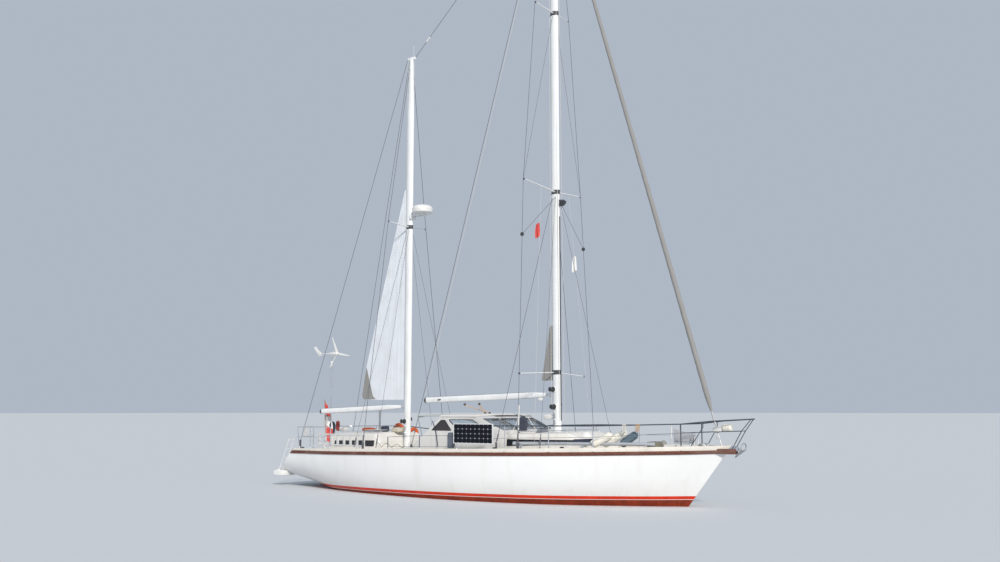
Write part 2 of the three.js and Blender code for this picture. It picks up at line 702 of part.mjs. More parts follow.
const CLOTH = 14;
const MAIN_CLEW = [[1978, 2930], [1978, 4370], [1900, 4370], [1630, 2960]];
const MIZZEN_SAIL = [
  [-3022, 2480], [-3022, 8560], [-3060, 8560], [-4455, 3490], [-4640, 2530], [-4160, 2500],
];
addNode('mainsail_clew', sidePlate(MAIN_CLEW, -CLOTH / 2, CLOTH / 2), 'sail');
addNode('mizzen_sail', sidePlate(MIZZEN_SAIL, -CLOTH / 2, CLOTH / 2), 'sailWhite');

const FORESTAY = { foot: [6392, 0, 1840], head: [2262, 0, 16500], radius: 66, topRadius: 42 };

function alongStay(from, to, f) {
  return from.map((value, k) => value + (to[k] - value) * f);
}

// The bare stay, the thin sleeve at its foot and the rolled sail above.
function furledGenoa() {
  const { foot, head, radius, topRadius } = FORESTAY;
  const sleeve = [[0, 12], [0.004, 12], [0.005, 24], [0.024, 26]];
  return turned(foot, head, [...sleeve, [0.045, radius], [0.93, topRadius], [0.932, 13], [1, 13]]);
}
addNode('furled_genoa', furledGenoa(), 'sail');

function furlerDrum() {
  const { foot, head } = FORESTAY;
  const at = (f) => alongStay(foot, head, f);
  const drum = rod(at(-0.0008), at(-0.008), 88, 88, 16);
  const tackRod = rod(at(-0.006), at(-0.036), 16);
  return onDeck(drum.add(tackRod)).subtract(bowPlatform().translate([0, 0, GAP]));
}
addNode('furler_drum', mainPiece(furlerDrum()), 'plastic');

// Main stays. Each runs between named points; a chainplate stands at the foot on the deck edge.

function footPlate([x, y, z]) {
  return box([x - 34, y - 7, z - 260], [x + 34, y + 7, z + 40]);
}

function shroud(points) {
  const foot = points.at(-1);
  return mainPiece(join([bentRod(points, STAY), onDeck(footPlate(foot))]));
}

const CAP = [[2100, -92, 16300], [2032, -838, 12790], [2022, -1392, 7985], [2120, -1812, 1420]];
const AFT_LOWER = [[2050, -96, 7680], [1530, -1868, 1420]];
const MIZZEN_CAP = [[-2870, -84, 12150], [-2958, -832, 7524], [-2930, -1755, 1320]];
const MIZZEN_BACKSTAY = [[-2985, -42, 12440], [-6015, -1075, 1320]];

// The cap shroud and the aft lower, on one long chainplate.
function mainShrouds() {
  const plate = Manifold.hull([CAP, AFT_LOWER].map((points) => footPlate(points.at(-1))));
  return mainPiece(join([bentRod(CAP, STAY), bentRod(AFT_LOWER, STAY), onDeck(plate)]));
}

const PAIRS = {
  main_shrouds: mainShrouds(),
  mizzen_cap_shroud: shroud(MIZZEN_CAP),
  mizzen_backstay: shroud(MIZZEN_BACKSTAY),
};

Object.entries(PAIRS).forEach(([name, body]) => {
  addNode(`${name}_starboard`, body, 'steel');
  addNode(`${name}_port`, mirrored(body), 'steel');
});

// The main backstay to the deck, and the triatic stay from masthead to masthead.
function aftStays() {
  const backstay = shroud([[1902, 0, 16760], [-2719, 0, 1218]]);
  const triatic = rod([1902, 0, 16800], [-2708, 0, 12505], STAY, STAY, 8);
  return join([backstay, triatic, box([1890, -12, 16745], [1907, 12, 16815])]);
}
addNode('aft_stays', aftStays(), 'steel');

// Radar dome on its bracket ahead of the mizzen mast

const RADAR = { x: -2400, z: 7790, radius: 300, height: 250 };

function radar() {
  const { x, z, radius, height } = RADAR;
  const outline = [
    [0, 0], [radius * 0.86, 0], [radius, 60], [radius, 120], [radius * 0.82, height - 30], [0, height],
  ];
  const dome = new THREE.LatheGeometry(outline.map(([r, h]) => new THREE.Vector2(r, h)), 24);
  dome.rotateX(Math.PI / 2);
  dome.translate(x, 0, z);
  const face = MIZZEN_MAST.x + MIZZEN_MAST.length / 2 + GAP;
  const bracket = sidePlate([[face, z - 150], [face, z + 5], [x + 120, z + 5], [x + 120, z - 25]], -45, 45);
  return solid(dome).add(bracket);
}
addNode('radar', radar(), 'plastic');

// Pulpit, pushpits and side rails

function railPoint(x, side, height, inset = 28) {
  const { beam, sheer } = deckEdge(x);
  return [x, side * (beam - inset), sheer + height];
}

function post(x, side, height, inset = 28) {
  const top = railPoint(x, side, height, inset);
  const foot = railPoint(x, side, toeRail(x) + GAP, inset);
  return rod(foot, top, POST, POST, 6);
}

function pulpit() {
  const side = (s) => {
    const top = [railPoint(5780, s, 600), [6420, s * 330, 1965], [7270, s * 70, 2015]];
    const low = [railPoint(5780, s, 400), [6420, s * 320, 1725], [7050, s * 120, 1748]];
    return [
      bentRod(top, RAIL),
      bentRod(low, 11),
      rod(top[2], low[2], RAIL),
      rod(low[2], [6810, s * 100, 1345 + GAP], 9),
      rod(top[0], railPoint(5780, s, toeRail(5780) + GAP), POST, POST, 6),
      rod([6250, s * 404, 1830], [5960, s * 462, 1380], POST, POST, 6),
    ];
  };
  const tip = bentRod([[7270, -70, 2015], [7318, 0, 2018], [7270, 70, 2015]], RAIL);
  const across = rod([7050, -120, 1748], [7050, 120, 1748], RAIL);
  const balls = [-70, 70].map((y) => {
    const ball = new THREE.SphereGeometry(RAIL * 1.05, 6, 4);
    ball.translate(7270, y, 2015);
    return solid(ball);
  });
  const whole = join([...side(-1), ...side(1), tip, across, ...balls]);
  return mainPiece(onDeck(whole).subtract(bowPlatform().translate([0, 0, GAP])));
}
addNode('pulpit', pulpit(), 'rail');

function pushpit(s) {
  const corners = [[-6080, s * 1140, 1064], [-6150, s * 1060, 1064], [-6150, s * 430, 1070]];
  const rail = (height) => [
    railPoint(-4300, s, height),
    railPoint(-5300, s, height),
    ...corners.map(([x, y, z]) => [x, y, z + height]),
  ];
  const posts = [
    post(-4300, s, 655),
    post(-5300, s, 655),
    rod([-6150, s * 430, 1725], [-6150, s * 430, 1080], POST, POST, 6),
    rod([-6080, s * 1140, 1719], [-6010, s * 1105, 1080], POST, POST, 6),
  ];
  return onDeck(join([bentRod(rail(655), RAIL), bentRod(rail(380), 10), ...posts]));
}

const WIND = { x: -6375, y: 500, z: 3930 };

// The pole of the wind generator stands on the transom and is braced to the port pushpit.
function windPole() {
  const { x, y, z } = WIND;
  const pole = rod([x, y, 800], [x, y, z - 75], 24, 24, 12);
  const braces = [1700, 1440].map((high) => rod([-6150, 430, high], [x, y, high], 11, 11, 8));
  return join([pole.subtract(grownHull).subtract(wholeDeck.translate([-GAP, 0, 0])), ...braces]);
}

addNode('pushpit_starboard', mainPiece(pushpit(-1)), 'steel');
addNode('pushpit_port', mainPiece(pushpit(1).add(mainPiece(windPole()))), 'steel');

// Side rails: stations of the posts, and where the tube gives way to thinner wires. Columns: x, height.
const STARBOARD_POSTS = [[3960, 592], [2930, 608], [1800, 622], [430, 630]];
const STARBOARD_WIRES = [[430, 400], [-780, 405], [-1900, 380]];
const PORT_POSTS = [
  [5040, 590], [3620, 580], [2170, 600], [740, 600], [-700, 560], [-2200, 540], [-3500, 550],
];

function sideRail(s, posts) {
  const top = [[5760, 600], ...posts].map(([x, h]) => railPoint(x, s, h));
  const wire = [[5760, 330], ...posts].map(([x]) => railPoint(x, s, 330));
  return [bentRod(top, RAIL), bentRod(wire, 5, 6), ...posts.map(([x, h]) => post(x, s, h))];
}

function starboardRail() {
  const upper = STARBOARD_WIRES.map(([x, h]) => railPoint(x, -1, h));
  const lower = STARBOARD_WIRES.map(([x]) => railPoint(x, -1, 130));
  const posts = STARBOARD_WIRES.slice(1).map(([x, h]) => post(x, -1, h + 15));
  return join([...sideRail(-1, STARBOARD_POSTS), bentRod(upper, 5, 6), bentRod(lower, 5, 6), ...posts]);
}
addNode('rail_starboard', mainPiece(starboardRail()), 'rail');
addNode('rail_port', mainPiece(join(sideRail(1, PORT_POSTS))), 'rail');

// Gear on deck

const PANEL = { low: [355, -2052, 1400], high: [1555, -2017, 1890] };

// The panel and the two brackets that clamp it against the side rail.
function solarPanel() {
  const [aftPost, forePost] = [430, 1800].map((x) => railPoint(x, -1, 600));
  const brackets = [0.18, 0.72].map((f) => {
    const [x, y] = alongStay(aftPost, forePost, f);
    return box([x - 22, PANEL.high[1] - 5, 1790], [x + 22, y - RAIL - 2, 1850]);
  });
  return join([box(PANEL.low, PANEL.high), ...brackets]);
}
addNode('solar_panel', solarPanel(), 'panel');

// A gangway stowed on edge: two long beams with slats between, on two chocks.
function gangway() {
  const [length, tall, slats] = [2130, 330, 8];
  const beams = [0, tall - 45].map((z) => box([0, -22, z], [length, 22, z + 45]));
  const between = Array.from({ length: slats }, (_, i) => {
    const x = (i / (slats - 1)) * (length - 90);
    return box([x, -14, 20], [x + 90, 14, tall - 20]);
  });
  const chocks = [260, 1780].map((x) => box([x, -30, -260], [x + 90, 30, 12]));
  const whole = join([...beams, ...between, ...chocks]);
  return mainPiece(onDeck(whole.rotate([0, 0, -9.6]).translate([-5030, -1330, 1232])));
}
addNode('gangway', gangway(), 'gelcoat');

const LOCKER = { aft: 5270, front: 5930, top: 1425 };
const LOCKER_LID = { aft: 5330, front: 5880, z: 1447, thick: 24, tallAft: 335, tallFront: 205 };
const LOCKER_WELL = [[5350, -370], [5860, -240], [5860, -30], [5350, -30]];

// The windlass has its foot moulded on the front of the locker.
function windlass() {
  const body = box([5985, -90, 1200], [6190, 90, 1405]);
  const foot = box([LOCKER.front - 30, -120, 1200], [6230, 120, 1352]);
  const drum = rod([6085, -150, 1395], [6085, 150, 1395], 62, 62, 16);
  return join([body, foot, drum]);
}

function foreLocker() {
  const { aft, front, top } = LOCKER;
  const outline = [[aft, -430], [front, -290], [front, 290], [aft, 430]];
  const well = flatPlate(LOCKER_WELL, top - 70, top + 9);
  return mainPiece(onDeck(flatPlate(outline, 1200, top).add(windlass())).subtract(well));
}
addNode('fore_locker', foreLocker(), 'gelcoat');

function lockerLid() {
  const { aft, front, z, thick, tallAft, tallFront } = LOCKER_LID;
  return sidePlate([[aft, z], [front, z], [front, z + tallFront], [aft, z + tallAft]], -thick / 2, thick / 2);
}
addNode('fore_locker_lid', lockerLid(), 'grey');

const HATCH_LID = { x: 1400, thick: 26, low: [-690, 1698], high: [-285, 2065] };

function mainHatchLid() {
  const { x, thick, low, high } = HATCH_LID;
  return box([x - thick, low[0], low[1]], [x, high[0], high[1]]);
}
addNode('main_hatch_lid', mainHatchLid(), 'canvas');

function aftHatchLid() {
  return box([-4300, -250, 1612], [-3800, 250, 1640]);
}
addNode('aft_hatch_lid', aftHatchLid(), 'darkGlass');

// The anchor hangs from its roller: shank, a fluke that points down and aft, and a roll bar.
function anchor() {
  const shank = bentRod([[6785, 0, 1370], [6900, 0, 1374], [6985, 0, 1284]], 18);
  // Across the fluke from its tip: x, half width, z.
  const rows = [[6835, 6, 1155], [6940, 95, 1242], [7040, 140, 1325]];
  const fluke = loft(rows.map(([x, half, z]) => [
    [x + 6, -half, z - 7], [x + 6, half, z - 7], [x - 6, half, z + 7], [x - 6, -half, z + 7],
  ]));
  const port = [[7028, 128, 1315], [7042, 150, 1400], [7052, 96, 1460]];
  const starboard = port.map(([x, y, z]) => [x, -y, z]);
  const rollBar = bentRod([...starboard, [7055, 0, 1476], ...port.toReversed()], 12);
  return join([shank, fluke, rollBar]);
}
addNode('anchor', anchor().subtract(bowPlatform().translate([0, 0, GAP])), 'steel');

// A spare pole lashed along the side deck on three chocks.
const POLE = { aft: [1950, -1770, 1425], front: [5250, -830, 1440], radius: 44 };

function stowedPole() {
  const chocks = [0.06, 0.5, 0.94].map((f) => {
    const [x, y, z] = alongStay(POLE.aft, POLE.front, f);
    return box([x - 20, y - 20, 1150], [x + 20, y + 20, z]);
  });
  return onDeck(join([rod(POLE.aft, POLE.front, POLE.radius, POLE.radius, 12), ...chocks]));
}
addNode('stowed_pole', stowedPole(), 'grey');

function boardingLadder() {
  const { foot, top, y, tube } = LADDER;
  const rails = y.map((side) => rod([foot[0], side, foot[1]], [top[0], side, top[1]], tube, tube, 8));
  const rungs = [0.1, 0.38, 0.66, 0.94].map((f) => {
    const [x, z] = [foot[0] + (top[0] - foot[0]) * f, foot[1] + (top[1] - foot[1]) * f];
    return rod([x, y[0], z], [x, y[1], z], tube * 0.8, tube * 0.8, 6);
  });
  return join([...rails, ...rungs]);
}
addNode('boarding_ladder', boardingLadder(), 'plastic');

// Wind generator on its pole: the head with its tail fin, and the rotor

function windHead() {
  const { x, y, z } = WIND;
  const body = rod([x - 130, y, z], [x + 190, y, z], 40, 62, 14);
  const boomRod = rod([x - 560, y, z + 10], [x - 120, y, z], 14, 16, 8);
  const outline = [[-430, -40], [-560, -60], [-800, 230], [-690, 240], [-470, 60]];
  const fin = sidePlate(outline.map(([dx, dz]) => [x + dx, z + dz]), y - 5, y + 5);
  return join([body, boomRod, fin, rod([x, y, z - 68], [x, y, z], 30, 30, 12)]);
}
addNode('wind_head', windHead(), 'plastic');

function windRotor() {
  const { x, y, z } = WIND;
  const hubX = x + 230;
  const hub = rod([hubX - 30, y, z], [hubX + 60, y, z], 62, 20, 14);
  const shape = blade([[40, 34, 30], [250, 30, 14], [540, 16, 6]], 5);
  return join([hub, ...bladeWheel([hubX, y, z], 3, shape, 25)]);
}
addNode('wind_rotor', windRotor(), 'black');

export default group;
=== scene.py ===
import json
import math

import bmesh
import bpy
import numpy as np
from mathutils import Matrix, Vector, noise

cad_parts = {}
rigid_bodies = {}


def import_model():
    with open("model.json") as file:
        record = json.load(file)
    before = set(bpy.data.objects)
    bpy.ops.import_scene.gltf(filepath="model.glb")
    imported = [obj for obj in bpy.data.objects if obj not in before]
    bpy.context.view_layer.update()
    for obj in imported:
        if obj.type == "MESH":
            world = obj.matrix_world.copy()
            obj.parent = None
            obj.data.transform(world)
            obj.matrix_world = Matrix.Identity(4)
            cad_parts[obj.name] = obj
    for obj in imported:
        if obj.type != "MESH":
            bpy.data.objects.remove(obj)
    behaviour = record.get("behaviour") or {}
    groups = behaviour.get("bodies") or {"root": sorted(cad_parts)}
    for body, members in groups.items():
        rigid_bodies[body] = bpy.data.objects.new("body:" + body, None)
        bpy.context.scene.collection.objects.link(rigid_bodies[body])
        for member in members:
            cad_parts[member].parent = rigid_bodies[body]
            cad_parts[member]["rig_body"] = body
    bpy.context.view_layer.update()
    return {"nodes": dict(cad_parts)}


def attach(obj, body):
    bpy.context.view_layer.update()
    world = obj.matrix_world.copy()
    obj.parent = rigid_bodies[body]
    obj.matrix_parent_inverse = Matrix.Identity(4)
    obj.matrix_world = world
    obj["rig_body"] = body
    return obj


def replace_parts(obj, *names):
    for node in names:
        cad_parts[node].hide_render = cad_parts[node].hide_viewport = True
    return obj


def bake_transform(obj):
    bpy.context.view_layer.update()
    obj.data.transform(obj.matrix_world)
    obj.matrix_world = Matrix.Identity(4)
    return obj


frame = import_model()
nodes = frame["nodes"]


# Camera, floor and light
# The camera stands off the starboard bow, a little above the water, and looks slightly up.
# The floor is at the waterline, and a low soft sun comes over the camera's right shoulder.

CAMERA_PLACE = (15.94, -22.06, 2.24)
CAMERA_PITCH, CAMERA_YAW = 7.19, 35.30
CAMERA_LENS = 36.55

camera = bpy.data.objects.new("camera", bpy.data.cameras.new("camera"))
camera.data.lens = CAMERA_LENS
camera.data.sensor_width = 36.0
camera.data.clip_end = 2000.0
bpy.context.scene.view_settings.view_transform = "Standard"
camera.location = CAMERA_PLACE
camera.rotation_euler = (math.radians(90 + CAMERA_PITCH), 0, math.radians(CAMERA_YAW))
bpy.context.scene.collection.objects.link(camera)
bpy.context.scene.camera = camera


def add(tree, kind, inputs=None, **settings):
    """A node with its settings, each input linked to a socket or given a value."""
    node = tree.nodes.new(kind)
    for key, value in settings.items():
        setattr(node, key, value)
    for key, value in (inputs or {}).items():
        if isinstance(value, bpy.types.NodeSocket):
            tree.links.new(value, node.inputs[key])
        else:
            node.inputs[key].default_value = value
    return node


def new_material(name):
    """An empty material, its tree, and its Principled shader wired to the output."""
    material = bpy.data.materials.new(name)
    material.use_nodes = True
    tree = material.node_tree
    tree.nodes.clear()
    shader = add(tree, "ShaderNodeBsdfPrincipled")
    add(tree, "ShaderNodeOutputMaterial", {"Surface": shader.outputs[0]})
    return material, tree, shader


def place(name, mesh, material, body="root", slot=None, angle=32.0):
    """A finished piece from a mesh, smooth but for edges sharper than the angle.

    With no body it rides on none yet.
    """
    if material is not None:
        mesh.materials.clear()
        mesh.materials.append(material)
    mesh.polygons.foreach_set("use_smooth", [True] * len(mesh.polygons))
    mesh.set_sharp_from_angle(angle=math.radians(angle))
    mesh.name = name
    piece = bpy.data.objects.new(name, mesh)
    bpy.context.scene.collection.objects.link(piece)
    if body:
        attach(piece, body)
    return piece


def around(count):
    """The angles of equal steps round a full turn."""
    return np.linspace(0, 2 * math.pi, count, endpoint=False)


FLOOR_RADIUS, FLOOR_SIDES = 600.0, 64

floor_mesh = bpy.data.meshes.new("floor")
floor_rim = [(FLOOR_RADIUS * math.cos(a), FLOOR_RADIUS * math.sin(a), 0) for a in around(FLOOR_SIDES)]
floor_mesh.from_pydata(floor_rim, [], [list(range(FLOOR_SIDES))])
floor = bpy.data.objects.new("floor", floor_mesh)
bpy.context.scene.collection.objects.link(floor)
floor_paint, tree, shader = new_material("floor_paint")
shader.inputs["Base Color"].default_value = (0.62, 0.64, 0.66, 1)
shader.inputs["Roughness"].default_value = 0.9
floor_mesh.materials.append(floor_paint)

SKY_COLOUR, SKY_STRENGTH = (0.71, 0.80, 0.93), 0.60
world = bpy.data.worlds.new("studio")
bpy.context.scene.world = world
world.use_nodes = True
world.node_tree.nodes.clear()
sky = add(world.node_tree, "ShaderNodeBackground", {"Color": (*SKY_COLOUR, 1), "Strength": SKY_STRENGTH})
add(world.node_tree, "ShaderNodeOutputWorld", {"Surface": sky.outputs[0]})

SUN_FROM, SUN_STRENGTH, SUN_WIDTH = Vector((0.70, -0.62, 0.50)), 3.05, math.radians(7)
SUN_COLOUR = (1.0, 0.955, 0.90)
sun = bpy.data.objects.new("sun", bpy.data.lights.new("sun", "SUN"))
sun.data.energy = SUN_STRENGTH
sun.data.angle = SUN_WIDTH
sun.data.color = SUN_COLOUR
sun.rotation_euler = SUN_FROM.to_track_quat("Z", "Y").to_euler()
bpy.context.scene.collection.objects.link(sun)


# Hull
# A glass-fibre hull moulded in one piece: white gelcoat that has chalked a little, a red
# boot stripe over a thin white line, and red-brown antifouling below.

# Stations, stern to stem: sheer x, half beam, sheer z, keel x, keel z, bilge power, side power.
STATIONS = np.array([
    (-6.250, 1.150, 1.062, -7.150, 0.330, 2.4, 2.4),
    (-5.200, 1.430, 1.078, -5.680, 0.055, 2.4, 2.3),
    (-4.200, 1.640, 1.092, -4.420, -0.300, 2.4, 2.2),
    (-3.000, 1.830, 1.118, -3.080, -0.560, 2.5, 2.2),
    (-1.500, 1.975, 1.150, -1.500, -0.710, 2.7, 2.2),
    (0.000, 2.030, 1.180, 0.000, -0.750, 2.8, 2.2),
    (1.200, 1.985, 1.204, 1.200, -0.740, 2.6, 2.1),
    (2.400, 1.845, 1.228, 2.350, -0.700, 2.4, 1.9),
    (3.500, 1.600, 1.250, 3.350, -0.640, 2.0, 1.7),
    (4.500, 1.245, 1.272, 4.150, -0.560, 1.7, 1.5),
    (5.300, 0.860, 1.288, 4.800, -0.460, 1.5, 1.35),
    (5.990, 0.480, 1.303, 5.180, -0.340, 1.35, 1.2),
    (6.400, 0.180, 1.313, 5.400, -0.250, 1.2, 1.1),
    (6.690, 0.028, 1.320, 5.530, -0.170, 1.0, 1.0),
])
LAST_STATION = len(STATIONS) - 1
UNDER_DECK = 0.0304
CAMBER = 0.03
RING_STEPS = 8
SIDE_STEPS = 28
HULL_WHITE, FOUL_RED, STRIPE_RED = (0.86, 0.86, 0.845), (0.24, 0.030, 0.008), (0.68, 0.030, 0.004)
SCUM_BROWN = (0.36, 0.33, 0.26)
# The boot line's x and height at its ends, and the red stripe's two edges over that line.
BOOT_AFT, BOOT_FORE = (-4.5, 0.060), (5.9, 0.165)
STRIPE_LOW, STRIPE_HIGH = 0.010, 0.085
COCKPIT_CUTS = [
    ((-1.380, -0.950, 1.010), (0.640, 0.950, 1.400)),
    ((-1.180, -0.360, 0.600), (0.640, 0.360, 1.400)),
    ((-1.120, -0.320, -0.330), (0.360, 0.320, 0.610)),
    ((0.560, -0.290, 0.700), (1.120, 0.290, 1.470)),
]


def station(t):
    """The station values at t, on a curve through the rows of the table."""
    first = min(int(t), LAST_STATION - 1)
    p = t - first
    before, after = first - 1, first + 2
    in_weight = out_weight = 0.5
    if before < 0:
        before, in_weight = first + 1, -0.5
    if after > LAST_STATION:
        after, out_weight = first, -0.5
    p2, p3 = p * p, p * p * p
    return (
        (-in_weight * p3 + 2 * in_weight * p2 - in_weight * p) * STATIONS[before]
        + ((1 + in_weight) * p3 + (-1.5 - 2 * in_weight) * p2 + (-0.5 + in_weight) * p + 1) * STATIONS[first]
        + ((-1 - out_weight) * p3 + (1.5 + out_weight) * p2 + 0.5 * p) * STATIONS[first + 1]
        + (out_weight * p3 - out_weight * p2) * STATIONS[after]
    )


def raked(row, y, z):
    """A point of the station's leaning plane, which passes its sheer and keel points."""
    sheer_x, _, sheer, keel_x, keel_z = row[:5]
    return (sheer_x + (z - sheer) * (sheer_x - keel_x) / (sheer - keel_z), y, z)


def deck_edge(x):
    """Half beam and sheer height of the deck's edge at x."""
    low, high = 0.0, float(LAST_STATION)
    for _ in range(32):
        middle = (low + high) / 2
        if station(middle)[0] < x:
            low = middle
        else:
            high = middle
    return station(low)[1], station(low)[2]


def deck_height(x, y):
    """Height of the cambered deck at a place."""
    beam, sheer = deck_edge(x)
    return sheer + CAMBER * beam * (1 - (y / beam) ** 2)


def lofted(rings, closed=True, capped=True):
    """A mesh through rings of points with one count; closed joins each ring's ends."""
    count = len(rings[0])
    around = count if closed else count - 1
    verts = [tuple(p) for ring in rings for p in ring]
    faces = []
    for r in range(len(rings) - 1):
        for i in range(around):
            a, b = r * count + i, r * count + (i + 1) % count
            faces.append((a, b, b + count, a + count))
    if closed and capped:
        faces.append(tuple(reversed(range(count))))
        last = (len(rings) - 1) * count
        faces.append(tuple(range(last, last + count)))
    return joined([(verts, faces)])


def mesh_of(shape, name="part"):
    """The mesh of a shape under construction, which ends there."""
    mesh = bpy.data.meshes.new(name)
    shape.to_mesh(mesh)
    shape.free()
    return mesh


def joined(parts):
    """One mesh from several (points, faces) pairs or meshes, its normals turned outwards."""
    whole = bmesh.new()
    for part in parts:
        if isinstance(part, bpy.types.Mesh):
            whole.from_mesh(part)
            continue
        made = [whole.verts.new(p) for p in part[0]]
        for face in part[1]:
            whole.faces.new([made[i] for i in face])
    bmesh.ops.remove_doubles(whole, verts=whole.verts, dist=1e-5)
    bmesh.ops.recalc_face_normals(whole, faces=whole.faces)
    return mesh_of(whole)


def round_edges(shape, bevel, steps):
    """Rounds every edge of a shape under construction, if the bevel isn't zero."""
    if bevel:
        bmesh.ops.bevel(shape, geom=shape.edges[:], offset=bevel, segments=steps,
                        profile=0.5, affect="EDGES")


def block(low, high, bevel=0.0, steps=2):
    """A box between two corners, its edges rounded by the bevel."""
    shape = bmesh.new()
    bmesh.ops.create_cube(shape, size=1)
    size = [h - l for l, h in zip(low, high)]
    bmesh.ops.scale(shape, vec=size, verts=shape.verts)
    bmesh.ops.translate(shape, vec=[(l + h) / 2 for l, h in zip(low, high)], verts=shape.verts)
    round_edges(shape, bevel, steps)
    return mesh_of(shape)


def evaluated(mesh, make_modifiers):
    """The mesh that a temporary object's modifiers make of this one."""
    seed = bpy.data.objects.new("seed", mesh)
    bpy.context.scene.collection.objects.link(seed)
    extra = make_modifiers(seed) or []
    result = bpy.data.meshes.new_from_object(seed.evaluated_get(bpy.context.evaluated_depsgraph_get()))
    for used in [seed, *extra]:
        bpy.data.objects.remove(used)
    return result


def cut(mesh, boxes):
    """The mesh with boxes taken out of it."""
    for low, high in boxes:
        cutter_mesh = block(low, high)

        def difference(seed):
            cutter = bpy.data.objects.new("cutter", cutter_mesh)
            bpy.context.scene.collection.objects.link(cutter)
            modifier = seed.modifiers.new("cut", "BOOLEAN")
            modifier.operation, modifier.solver, modifier.object = "DIFFERENCE", "EXACT", cutter
            return [cutter]

        mesh = evaluated(mesh, difference)
    return mesh


def hull_ring(t):
    """The hull's section at t: up the one side, over the deck's underside and down the other."""
    row = station(t)
    _, beam, sheer, _, keel_z, bilge, side = row
    depth = sheer - keel_z
    drops = [math.sin(i / SIDE_STEPS * math.pi / 2) for i in range(SIDE_STEPS + 1)]
    outline = [(beam * max(1 - d ** bilge, 0) ** (1 / side), sheer - depth * d) for d in drops]
    outline[0] = (beam, sheer - UNDER_DECK)
    outline = [outline[0]] + [p for p in outline[1:] if p[1] < sheer - UNDER_DECK - 0.002]
    while len(outline) < SIDE_STEPS + 1:
        outline.insert(1, ((outline[0][0] + outline[1][0]) / 2, (outline[0][1] + outline[1][1]) / 2))
    tops = [(beam * f, sheer - UNDER_DECK + CAMBER * beam * (1 - f * f)) for f in (0.8, 0.4, 0, -0.4, -0.8)]
    ring = [(-y, z) for y, z in outline] + [(y, z) for y, z in outline[-2::-1]] + tops
    return [raked(row, y, z) for y, z in ring]


def shader_group(name, inputs):
    """An empty group that gives a colour, a mask and a height, with its inputs and where it is asked."""
    group = bpy.data.node_groups.new(name, "ShaderNodeTree")
    for label, kind, value in inputs:
        group.interface.new_socket(name=label, in_out="INPUT", socket_type=kind).default_value = value
    for label, kind in [("Colour", "NodeSocketColor"), ("Mask", "NodeSocketFloat"),
                        ("Height", "NodeSocketFloat")]:
        group.interface.new_socket(name=label, in_out="OUTPUT", socket_type=kind)
    return group, add(group, "NodeGroupInput").outputs, add(group, "ShaderNodeTexCoord").outputs["Object"]


def mixed(tree, factor, first, second):
    """A mix of two colours, each a socket or a value."""
    return add(tree, "ShaderNodeMix", {"Factor": factor, 6: first, 7: second}, data_type="RGBA").outputs[2]


def weathered_group():
    """Shader group: slow changes of tone, runs of dirt down the surface, and fine pitting."""
    group, given, where = shader_group("weathered", [
        ("Colour", "NodeSocketColor", (0.8, 0.8, 0.8, 1)),
        ("Stain", "NodeSocketColor", (0.35, 0.3, 0.22, 1)), ("Tone", "NodeSocketFloat", 0.06),
        ("Runs", "NodeSocketFloat", 0.2), ("Scale", "NodeSocketFloat", 1.0),
        ("Pitting", "NodeSocketFloat", 60.0)])
    slow = add(group, "ShaderNodeTexNoise", {"Vector": where, "Scale": given["Scale"], "Detail": 3.0})
    spread = add(group, "ShaderNodeMapRange", {
        "Value": slow.outputs["Fac"], "From Min": 0.3, "From Max": 0.7, "To Min": -1.0, "To Max": 1.0})
    tone = add(group, "ShaderNodeMath", {0: spread.outputs[0], 1: given["Tone"], 2: 1.0},
               operation="MULTIPLY_ADD")
    toned = add(group, "ShaderNodeVectorMath",
                {0: given["Colour"], "Scale": tone.outputs[0]}, operation="SCALE")
    stretched = add(group, "ShaderNodeMapping", {"Vector": where, "Scale": (5.0, 5.0, 0.55)})
    runs = add(group, "ShaderNodeTexNoise",
               {"Vector": stretched.outputs[0], "Scale": given["Scale"], "Detail": 5.0})
    mask = add(group, "ShaderNodeMapRange",
               {"Value": runs.outputs["Fac"], "From Min": 0.52, "From Max": 0.8})
    amount = add(group, "ShaderNodeMath", {0: mask.outputs[0], 1: given["Runs"]}, operation="MULTIPLY")
    stained = mixed(group, amount.outputs[0], toned.outputs[0], given["Stain"])
    fine = add(group, "ShaderNodeTexNoise", {"Vector": where, "Scale": given["Pitting"], "Detail": 2.0})
    add(group, "NodeGroupOutput",
        {"Colour": stained, "Mask": mask.outputs[0], "Height": fine.outputs["Fac"]})
    return group


WEATHERED = weathered_group()


def weathered(tree, colour, stain, tone, runs, scale, pitting):
    """The weathered group in a material, with its values."""
    return add(tree, "ShaderNodeGroup", {
        "Colour": (*colour, 1), "Stain": (*stain, 1), "Tone": tone, "Runs": runs, "Scale": scale,
        "Pitting": pitting}, node_tree=WEATHERED)


def wire_finish(tree, shader, colour, rough, relief):
    """Joins a colour, a roughness and a bump to the shader."""
    tree.links.new(colour, shader.inputs["Base Color"])
    tree.links.new(rough.outputs[0], shader.inputs["Roughness"])
    tree.links.new(relief.outputs[0], shader.inputs["Normal"])


def weathered_material(name, colour, roughness, stain=(0.30, 0.25, 0.18), tone=0.05, runs=0.15, scale=1.0,
                       pitting=60.0, bump=0.15, depth=0.001, metallic=0.0, coat=0.0, specular=0.5):
    """A finish of one colour that the weather has worked on."""
    material, tree, shader = new_material(name)
    worn = weathered(tree, colour, stain, tone, runs, scale, pitting)
    rough = add(tree, "ShaderNodeMapRange", {
        "Value": worn.outputs["Mask"], "To Min": roughness, "To Max": min(roughness + 0.22, 1.0)})
    relief = add(tree, "ShaderNodeBump",
                 {"Height": worn.outputs["Height"], "Strength": bump, "Distance": depth})
    wire_finish(tree, shader, worn.outputs["Colour"], rough, relief)
    for label, value in (("Metallic", metallic), ("Coat Weight", coat), ("Specular IOR Level", specular)):
        shader.inputs[label].default_value = value
    return material


